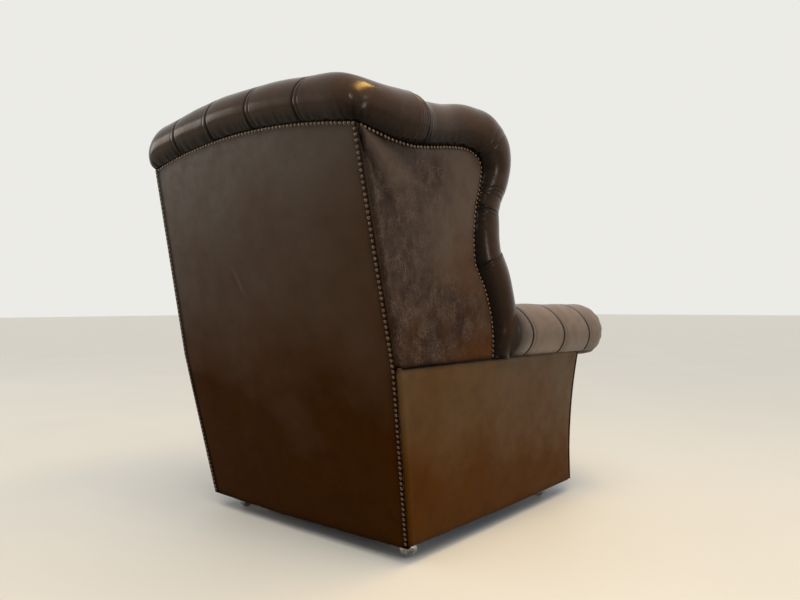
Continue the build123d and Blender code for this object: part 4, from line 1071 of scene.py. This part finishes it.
# Inside wings
wing_face = (5 + 28 + 29 + 20) * MM
wing_button_shares = ((0.34, 0.77), (0.66, 0.82), (0.50, 0.55), (0.68, 0.30))
wing_button_points = [(wing_reach * f, -wing_drop * (1 - h)) for f, h in wing_button_shares]
p0, p1, p2, p3 = wing_button_points
wing_folds = [
    (p0, p1), (p0, p2), (p1, p2), (p2, p3), (p0, (p0[0] - 0.01, 0.02)), (p1, (p1[0] + 0.02, 0.03)),
    (p1, tuple(wing_marks[1])), (p3, tuple(wing_marks[2])), (p3, (p3[0] - 0.01, -wing_drop)),
    (p0, (-0.02, p0[1] + 0.01)), (p2, (0.05, p2[1] - 0.03)), (p3, (0.09, p3[1] - 0.02)),
]


def wing_lining(seed):
    """The right-hand inside wing's face and its painted shade."""
    w, u, forward, up = wing_field()
    tufts, shade = tufting(forward, up, wing_button_points, wing_folds, tuft_depth - tuft_lift,
                           8 * MM, 20 * MM, seed)
    edge = np.minimum(np.minimum((1 - u) * 0.3, (1 - w) * 0.45), w * 0.45)
    face = wing_face + 2 * MM + tufts
    face = face - (face - 60 * MM) * np.exp(-(np.maximum(edge, 0) / (24 * MM)) ** 1.2)
    # Painted shade in the tufting and along the edges.
    return on_wing(forward, up, -face), np.clip(shade + 0.5 * bump(edge, 7 * MM), 0, 1)


def button_pair(name, places, facing, node):
    """Buttons on the right-hand side and their mirror images on the left."""
    facings = np.tile(facing, (len(places), 1))
    buttons(name, np.vstack([places, places * mirror_x]), np.vstack([facings, facings * mirror_x]), node)


sheet_pair("inner_wing", wing_lining, (131, 141), inside_leather, "inside_leather", "inside_wing",
           flip=True, thickness=lining_thick, fill=pad_fill)
wing_seats = np.array([on_wing(f, h, -(wing_face - tuft_depth - tuft_lift)) for f, h in wing_button_points])
button_pair("wing_tuft_buttons", wing_seats, -wing_out, "wing_buttons")

# Inside arms
arm_face, arm_belly = 300 * MM, 8 * MM
web_top, platform_top = 327 * MM, 362 * MM
front_y = facing_y + 12 * MM
arm_button_z = 392 * MM
arm_buttons_y = [back_foot_y + (front_y - back_foot_y) / 5 * (index + 1) for index in range(4)]


def arm_lining(seed):
    """The right-hand inside arm's face, from the platform up and over under the roll."""
    rows, columns = 44, 190
    w, u = np.meshgrid(np.linspace(0, 1, rows), np.linspace(0, 1, columns), indexing="ij")
    rear_y = back_foot_y + (seam_height - hem_height) * rake_tan - 60 * MM
    y = front_y + 0.5 * MM + (rear_y - front_y) * u
    rise = w * (seam_height - web_top + 30 * MM)
    wall = np.minimum(rise, seam_height - web_top)
    over = np.maximum(rise - (seam_height - web_top), 0)
    z = web_top + wall
    points = [(by, arm_button_z) for by in arm_buttons_y]
    folds = [((by, arm_button_z), (by, seam_height + 0.02)) for by in arm_buttons_y]
    folds += [((by, arm_button_z), (by, web_top - 0.02)) for by in arm_buttons_y]
    tufts, shade = tufting(y, z, points, folds, tuft_depth - tuft_lift, 5 * MM, 22 * MM, seed)
    mid = (z - web_top) / (seam_height - web_top)
    face = -arm_face + arm_belly * 4 * mid * (1 - mid) + 2 * MM + tufts
    rounding = 9 * MM * bump(seam_height - z, 9 * MM)
    x = face - rounding - over
    top = seam_height - 1.5 * MM * bump(over, 6 * MM)
    # Painted shade under the roll, along the seam.
    shade = np.clip(shade + 0.6 * bump(seam_height - z, 8 * MM), 0, 1)
    return np.stack([x, y, np.minimum(z, top)], axis=-1), shade


sheet_pair("inner_arm", arm_lining, (151, 161), inside_leather, "inside_leather", "inside_arm",
           thickness=3 * MM, fill=pad_fill)
arm_seat_x = -arm_face + arm_belly - tuft_depth - tuft_lift
arm_seats = np.array([(arm_seat_x, y, arm_button_z) for y in arm_buttons_y])
button_pair("arm_tuft_buttons", arm_seats, (1.0, 0, 0), "arm_buttons")


# Boxed pieces: a cube's skin pushed out to a box with round edges
def box_skin(steps):
    """Points of a cube's skin between -1 and 1, welded, and its faces."""
    nx, ny, nz = steps
    index, verts, faces = {}, [], []

    def at(i, j, k):
        key = (i, j, k)
        if key not in index:
            index[key] = len(verts)
            verts.append((2 * i / nx - 1, 2 * j / ny - 1, 2 * k / nz - 1))
        return index[key]

    for i in range(nx):
        for j in range(ny):
            faces.append((at(i, j, nz), at(i + 1, j, nz), at(i + 1, j + 1, nz), at(i, j + 1, nz)))
            faces.append((at(i, j + 1, 0), at(i + 1, j + 1, 0), at(i + 1, j, 0), at(i, j, 0)))
    for i in range(nx):
        for k in range(nz):
            faces.append((at(i, 0, k), at(i + 1, 0, k), at(i + 1, 0, k + 1), at(i, 0, k + 1)))
            faces.append((at(i, ny, k + 1), at(i + 1, ny, k + 1), at(i + 1, ny, k), at(i, ny, k)))
    for j in range(ny):
        for k in range(nz):
            faces.append((at(0, j + 1, k), at(0, j, k), at(0, j, k + 1), at(0, j + 1, k + 1)))
            faces.append((at(nx, j, k), at(nx, j + 1, k), at(nx, j + 1, k + 1), at(nx, j, k + 1)))
    return np.array(verts), faces


def round_box(low, high, radius, steps):
    """A box with round vertical and level edges: its points, the unit cube's points and its faces."""
    cube, faces = box_skin(steps)
    low, high = np.array(low, float), np.array(high, float)
    half = (high - low) / 2
    core = np.clip(cube * half, -(half - radius), half - radius)
    lead = cube * half - core
    length = np.linalg.norm(lead, axis=1, keepdims=True)
    return (low + high) / 2 + core + lead / np.maximum(length, 1e-9) * radius * (length > 1e-9), cube, faces


# Seat platform
platform_half, platform_rear = 286 * MM, back_foot_y - 84 * MM
platform_low = (-platform_half, front_y + 1 * MM, web_top + 0.5 * MM)
platform_high = (platform_half, platform_rear, platform_top)
verts, cube, faces = round_box(platform_low, platform_high, 9 * MM, (40, 46, 4))
unevenness = 0.6 * MM * lattice_noise(verts[:, 0] * 20, verts[:, 1] * 20, 171)
verts[:, 2] += np.where(cube[:, 2] > 0, unevenness, 0) - 0.6 * MM
mesh_piece("platform_pad", verts, faces, cotton, "platform_cloth", ("seat_platform",), fill=0.8)

# Front panel with its rolled lip, and the padded arm fronts
border_half, lip_radius = 300 * MM, 17 * MM
flat_rows, columns = 60, 120
lip_turn = np.linspace(0.15, math.pi * 0.98, 26)
lip_foot = platform_top - 2 * lip_radius
height = np.concatenate([np.linspace(hem_height, lip_foot, flat_rows),
                         platform_top - lip_radius - lip_radius * np.cos(lip_turn)])
bulge = np.concatenate([np.full(flat_rows, cover), cover + (lip_radius - cover) * np.sin(lip_turn)])
bulge[-6:] -= np.linspace(0, 12 * MM, 6)
z, x = np.meshgrid(height, np.linspace(-border_half, border_half, columns), indexing="ij")
out = bulge[:, None] + 2.0 * MM * np.sin(math.pi * (x / border_half + 1) / 2)
out = out + 0.9 * MM * lattice_noise(x * 9, z * 12, 181) + 0.4 * MM * lattice_noise(x * 40, z * 30, 182)
out = out - 4 * MM * bump(border_half - np.abs(x), 8 * MM)
# Painted shade under the rolled lip and along the side edges.
shade = 0.7 * bump(z - lip_foot, 3 * MM) + 0.5 * bump(border_half - np.abs(x), 7 * MM)
sheet_piece("front_panel", np.stack([x, front_y - out, z], axis=-1), front_leather, "outer_leather",
            ("front_border",), np.clip(shade, 0, 1), fill=pad_fill)


def arm_front(seed):
    """The right-hand arm's front panel: edges follow the side cover, top under the roll."""
    rows, columns = 90, 26
    w, u = np.meshgrid(np.linspace(0, 1, rows), np.linspace(0, 1, columns), indexing="ij")
    top = seam_height - 8 * MM
    z = hem_height + (top - hem_height) * w
    outer = side_half(side_front, (z - hem_height) / waist_rise) + 3 * MM
    inner = 298 * MM
    x = -(outer + (inner - outer) * u)
    edge = np.minimum(np.minimum(u, 1 - u) * 0.085, np.minimum(w, 1 - w) * 0.39)
    out = 13 * MM + 4 * MM * (1 - np.exp(-edge / (9 * MM))) - 4 * MM * bump(edge, 4 * MM)
    out += 0.5 * MM * lattice_noise(z * 22, u * 3, seed)
    # Painted shade along the panel's edges.
    return np.stack([x, front_y - out, z], axis=-1), 0.5 * bump(edge, 4 * MM)


sheet_pair("arm_front", arm_front, (191, 192), front_leather, "outer_leather", "arm_facing",
           thickness=11 * MM, fill=0.8)

# Seat cushion: loose and boxed, with piping along its seams
cushion_low = np.array((-281 * MM, facing_y - 22 * MM, platform_top + 0.3 * MM))
cushion_high = np.array((281 * MM, platform_rear - 0.5 * MM, platform_top + 118.3 * MM))


def cushion_shape():
    """The cushion's points, its cube points and its faces."""
    verts, cube, faces = round_box(cushion_low, cushion_high, 20 * MM, (76, 92, 16))
    centre, half = (cushion_low + cushion_high) / 2, (cushion_high - cushion_low) / 2
    flat = np.clip(np.abs((verts - centre)[:, :2]) / half[:2], 0, 1)
    dome = (1 - flat[:, 0] ** 2.6) * (1 - flat[:, 1] ** 2.8)
    z = verts[:, 2] - centre[2]
    top = np.clip(cube[:, 2], 0, 1) ** 6
    low = np.clip(-cube[:, 2], 0, 1) ** 6
    z = z - 26 * MM * top * (1 - dome) + 6 * MM * low * (1 - dome)
    belly = 7 * MM * (1 - cube[:, 2] ** 2)
    side = np.maximum(np.abs(cube[:, 0]), np.abs(cube[:, 1])) > 0.999
    outward = unit(np.where(np.abs(cube[:, :2]) > 0.999, np.sign(cube[:, :2]), 0) + 1e-9)
    corner_pull = 5 * MM * bump(np.abs(cube[:, 0]) - 1, 0.2) * bump(np.abs(cube[:, 1]) - 1, 0.2)
    pull = np.where(side, -4 * MM + belly - corner_pull, 0)
    verts[:, :2] += outward * pull[:, None]
    verts[:, 2] = centre[2] + z
    x, y = verts[:, 0], verts[:, 1]
    worn = 5 * MM * bump(x / 0.19, 1) * bump((y - centre[1] + 0.03) / 0.22, 1)
    creases = (1.6 * MM * lattice_noise(x * 11 + y * 3, y * 13, 201)
               + 0.8 * MM * lattice_noise(x * 34, y * 30 + x * 9, 202))
    verts[:, 2] += top * (creases * dome - worn * dome)
    return verts, cube, faces


verts, cube, faces = cushion_shape()
on_side = np.maximum(np.abs(cube[:, 0]), np.abs(cube[:, 1])) > 0.99
# Painted shade on the boxed sides, next to the top and bottom seams.
cushion_shade = 0.5 * bump(np.abs(cube[:, 2]) - 1, 0.05) * on_side
mesh_piece("cushion_leather", verts, faces, seat_leather, "seat_leather", ("seat_cushion",), cushion_shade,
           body="cushion", fill=0.8)

# Piping: along the arm seams and round the cushion's two seams
seam_places = np.linspace(-waist_rise * rake_tan + 3 * MM, base_depth - 3 * MM, 160)
seam_x = -(side_half(np.minimum(seam_places, side_front), 1.0) + 1.6 * MM)
seam_z = seam_height + 0.8 * MM + 0.5 * MM * lattice_noise(seam_places * 30, 0, 211)
seam_path = np.column_stack([seam_x, back_foot_y - seam_places, seam_z])
# Painted shade: the piping is dark along the seam's gap, except a pale length at its rear end.
seam_gap_shade = np.repeat(np.clip((run_length(seam_path) - 6 * MM) / (18 * MM), 0, 0.95), 8)
for side, seam in (("right", seam_path), ("left", seam_path * mirror_x)):
    tube_piece(f"seam_piping_{side}", seam, 2.3 * MM, piping_leather, "outer_leather", shade=seam_gap_shade)


def seam_ring(level, out):
    """A round-cornered ring near the cushion's side, at a height."""
    middle, half = (cushion_low + cushion_high) / 2, (cushion_high - cushion_low) / 2
    radius = 30 * MM
    reach = radius + out
    points = []
    for corner_at in range(4):
        turn = np.linspace(0, math.pi / 2, 14) + corner_at * math.pi / 2
        corner_x = middle[0] + (half[0] - radius) * (1 if corner_at in (0, 3) else -1)
        corner_y = middle[1] + (half[1] - radius) * (1 if corner_at in (0, 1) else -1)
        points += [(corner_x + reach * math.cos(a), corner_y + reach * math.sin(a), level) for a in turn]
    points.append(points[0])
    return resample(np.array(points), 420)


for end, level in (("top", cushion_high[2] - 33 * MM), ("foot", cushion_low[2] + 14 * MM)):
    ring = seam_ring(level, -1.5 * MM)
    ring[:, 2] += 1.2 * MM * lattice_noise(np.linspace(0, 40, len(ring)), 0, 221)
    tube_piece(f"cushion_piping_{end}", ring, 3.0 * MM, piping_leather, "seat_leather", body="cushion")

# Webbing: woven straps tacked to the frame and pressed out of flat by the stuffing
web_wide, web_thick, seat_web_half = 60 * MM, 2 * MM, 358.5 * MM
web_across = np.linspace(-0.5, 0.5, 9)
selvedge = 0.35 * MM * bump(np.abs(web_across) - 0.47, 0.05)


def straps(name, grids, node):
    """A row of woven straps as one piece."""
    verts, faces = [], []
    for grid in grids:
        base = sum(len(part) for part in verts)
        faces += [tuple(base + k for k in face) for face in grid_faces(*grid.shape[:2])]
        verts.append(grid.reshape(-1, 3))
    thicken(mesh_piece(name, np.vstack(verts), faces, jute, "jute_webbing", (node,)), web_thick)


seat_grids = []
seat_span, first_strap = (base_depth - 84 * MM - 2 * web_wide) / 7, front_y + 91.0 * MM
for index in range(7):
    line_x, line_y = np.meshgrid(np.linspace(-seat_web_half, seat_web_half, 70), web_across, indexing="ij")
    sag = 4 * MM * np.clip(1 - (line_x / (290 * MM)) ** 2, 0, 1)
    y = first_strap + seat_span * index + web_wide * line_y + 1.5 * MM * lattice_noise(line_x * 4, index, 232)
    wave = 0.7 * MM * lattice_noise(line_x * 14, line_y + index * 3, 231)
    seat_grids.append(np.stack([line_x, y, web_top - 1.5 * MM + selvedge - sag + wave], axis=-1))
straps("seat_straps", seat_grids, "seat_webbing")
back_grids = []
strap_pitch, strap_inset, strap_depth = 115.1 * MM, 47 * MM, 43 * MM
for index in range(5):
    middle = pad_foot + 8 * MM + web_wide / 2 + strap_pitch * index
    along = np.linspace(-1, 1, 70) * (back_half(middle) - strap_inset)
    line_x, line_up = np.meshgrid(along, web_across, indexing="ij")
    press = 3 * MM * (1 - (line_x / (345 * MM)) ** 2)
    wave = 0.7 * MM * lattice_noise(line_x * 14, line_up + index * 3, 233)
    back_grids.append(on_back(line_x, middle + web_wide * line_up, strap_depth - press + wave + selvedge))
straps("back_straps", back_grids, "back_webbing")

# Dust cover: thin black cloth with cut corners, hanging a little between its tacks
dust_half, dust_corner, dust_cut = 338.5 * MM, 144 * MM, 187.2 * MM
dust_front = front_y + 11 * MM
dust_rear, dust_height = dust_front + 699 * MM, 46.5 * MM
v, u = np.meshgrid(np.linspace(0, 1, 90), np.linspace(-1, 1, 80), indexing="ij")
y = dust_front + (dust_rear - dust_front) * v
cut = np.clip(1 - np.minimum(y - dust_front, dust_rear - y) / dust_cut, 0, 1)
x = u * (dust_half - dust_corner * cut)
hang = 2.6 * MM * (1 - u ** 2) * np.sin(math.pi * v) ** 0.6
hang = hang + 0.5 * MM * lattice_noise(x * 18, y * 18, 241) * (1 - u ** 6)
dust_cloth = sheet_piece("dust_cloth", np.stack([x, y, dust_height - hang], axis=-1), lining, "black_lining",
                         ("dust_cover",), thickness=1.5 * MM)

# The CAD's hard pieces keep their shape and take a finish
finishes = {"castor_hood": nickel, "castor_wheel": wheel_nickel, "castor_axle": axle_steel,
            "castor_sockets": socket_steel}
for node_name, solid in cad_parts.items():
    finish = next((value for key, value in finishes.items() if key in node_name), beech)
    for slot_index in range(len(solid.material_slots)):
        solid.material_slots[slot_index].material = finish


# Stage: pale floor, soft studio light and the photograph's camera
def stage_material(name, darker, lighter):
    """A pale surface whose tone drifts between two colours."""
    material, tree, shader, node = material_nodes(name)
    tone = ramp(node, noise(node, object_place(node), 1.5, 2.0), (0.3, darker), (0.7, lighter))
    tree.links.new(tone, shader.inputs["Base Color"])
    shader.inputs["Roughness"].default_value = 0.55
    shader.inputs["Specular IOR Level"].default_value = 0.2
    return material


floor_mesh = bpy.data.meshes.new("floor")
floor_half = 40.0
floor_corners = [(i * floor_half, j * floor_half, 0) for i, j in ((-1, -1), (1, -1), (1, 1), (-1, 1))]
floor_mesh.from_pydata(floor_corners, [], [(0, 1, 2, 3)])
floor = bpy.data.objects.new("floor", floor_mesh)
bpy.context.collection.objects.link(floor)
floor_mesh.materials.append(stage_material("pale_floor", (0.66, 0.69, 0.72, 1), (0.68, 0.71, 0.74, 1)))

world = bpy.data.worlds.new("studio")
bpy.context.scene.world = world
world.use_nodes = True
tree = world.node_tree
tree.nodes.clear()
path_kind = tree.nodes.new("ShaderNodeLightPath")
seen = tree.nodes.new("ShaderNodeBackground")
seen.inputs["Color"].default_value = (0.88, 0.875, 0.84, 1)
seen.inputs["Strength"].default_value = 0.95
light = tree.nodes.new("ShaderNodeBackground")
light.inputs["Color"].default_value = (0.95, 0.97, 1.0, 1)
light.inputs["Strength"].default_value = 0.36
mix = tree.nodes.new("ShaderNodeMixShader")
output = tree.nodes.new("ShaderNodeOutputWorld")
shown_kinds = [path_kind.outputs[kind] for kind in ("Is Camera Ray", "Is Glossy Ray", "Is Transmission Ray")]
for kind in shown_kinds[1:]:
    either = tree.nodes.new("ShaderNodeMath")
    either.operation = "MAXIMUM"
    tree.links.new(shown_kinds[0], either.inputs[0])
    tree.links.new(kind, either.inputs[1])
    shown_kinds[0] = either.outputs[0]
tree.links.new(shown_kinds[0], mix.inputs[0])
tree.links.new(light.outputs[0], mix.inputs[1])
tree.links.new(seen.outputs[0], mix.inputs[2])
tree.links.new(mix.outputs[0], output.inputs[0])


def area_lamp(name, place, target, size, power, colour):
    """A soft rectangular lamp."""
    lamp = bpy.data.lights.new(name, "AREA")
    lamp.shape = "RECTANGLE"
    lamp.size, lamp.size_y = size
    lamp.energy = power
    lamp.color = colour
    holder = bpy.data.objects.new(name, lamp)
    bpy.context.collection.objects.link(holder)
    holder.location = place
    holder.rotation_euler = (Vector(target) - Vector(place)).to_track_quat("-Z", "Y").to_euler()


area_lamp("window_left", (4.72, 2.8, 1.75), (0, 0.4, 0.75), (2.24, 1.6), 36, (1.0, 0.93, 0.85))
area_lamp("window_right", (-2.51, 0.27, 2.29), (-0.35, 0.45, 1.04), (0.35, 0.5), 2.5, (0.86, 0.92, 1.0))
area_lamp("window_behind", (-1.58, 2.23, 2.29), (-0.35, 0.45, 1.04), (0.35, 0.5), 7, (0.86, 0.92, 1.0))
area_lamp("window_front", (-3.45, 0.22, 1.00), (-0.42, -0.1, 0.85), (0.32, 1.1), 14, (0.80, 0.90, 1.0))
area_lamp("lamp_above", (-0.85, 0.16, 2.58), (-0.35, 0.45, 1.04), (1.3, 0.36), 25, (1.0, 0.60, 0.16))
sun = bpy.data.lights.new("ceiling", "SUN")
sun.energy = 2.1
sun.angle = math.radians(50)
sun.color = (1.0, 0.83, 0.58)
sun_holder = bpy.data.objects.new("ceiling", sun)
bpy.context.collection.objects.link(sun_holder)
sun_holder.visible_glossy = False
sun_holder.rotation_euler = Vector((0.30, -0.42, -1.0)).to_track_quat("-Z", "Y").to_euler()

eye = Vector((-1.2955, back_foot_y + 1.1502, 0.5809))
yaw, pitch, tilt = math.radians(140.24), 0.0091, -0.0036
forward = Vector((math.sin(yaw) * math.cos(pitch), math.cos(yaw) * math.cos(pitch), math.sin(pitch)))
level_right = forward.cross(Vector((0, 0, 1))).normalized()
level_up = level_right.cross(forward)
right = level_right * math.cos(tilt) + level_up * math.sin(tilt)
upward = level_up * math.cos(tilt) - level_right * math.sin(tilt)
focal_pixels, picture_width, sensor_width = 665, 800, 36
camera_data = bpy.data.cameras.new("camera")
camera_data.sensor_width = sensor_width
camera_data.lens = focal_pixels / picture_width * sensor_width
camera = bpy.data.objects.new("camera", camera_data)
camera.matrix_world = Matrix((
    (right.x, upward.x, -forward.x, eye.x), (right.y, upward.y, -forward.y, eye.y),
    (right.z, upward.z, -forward.z, eye.z), (0, 0, 0, 1)))
bpy.context.collection.objects.link(camera)
bpy.context.scene.camera = camera
bpy.context.scene.view_settings.view_transform = "Standard"
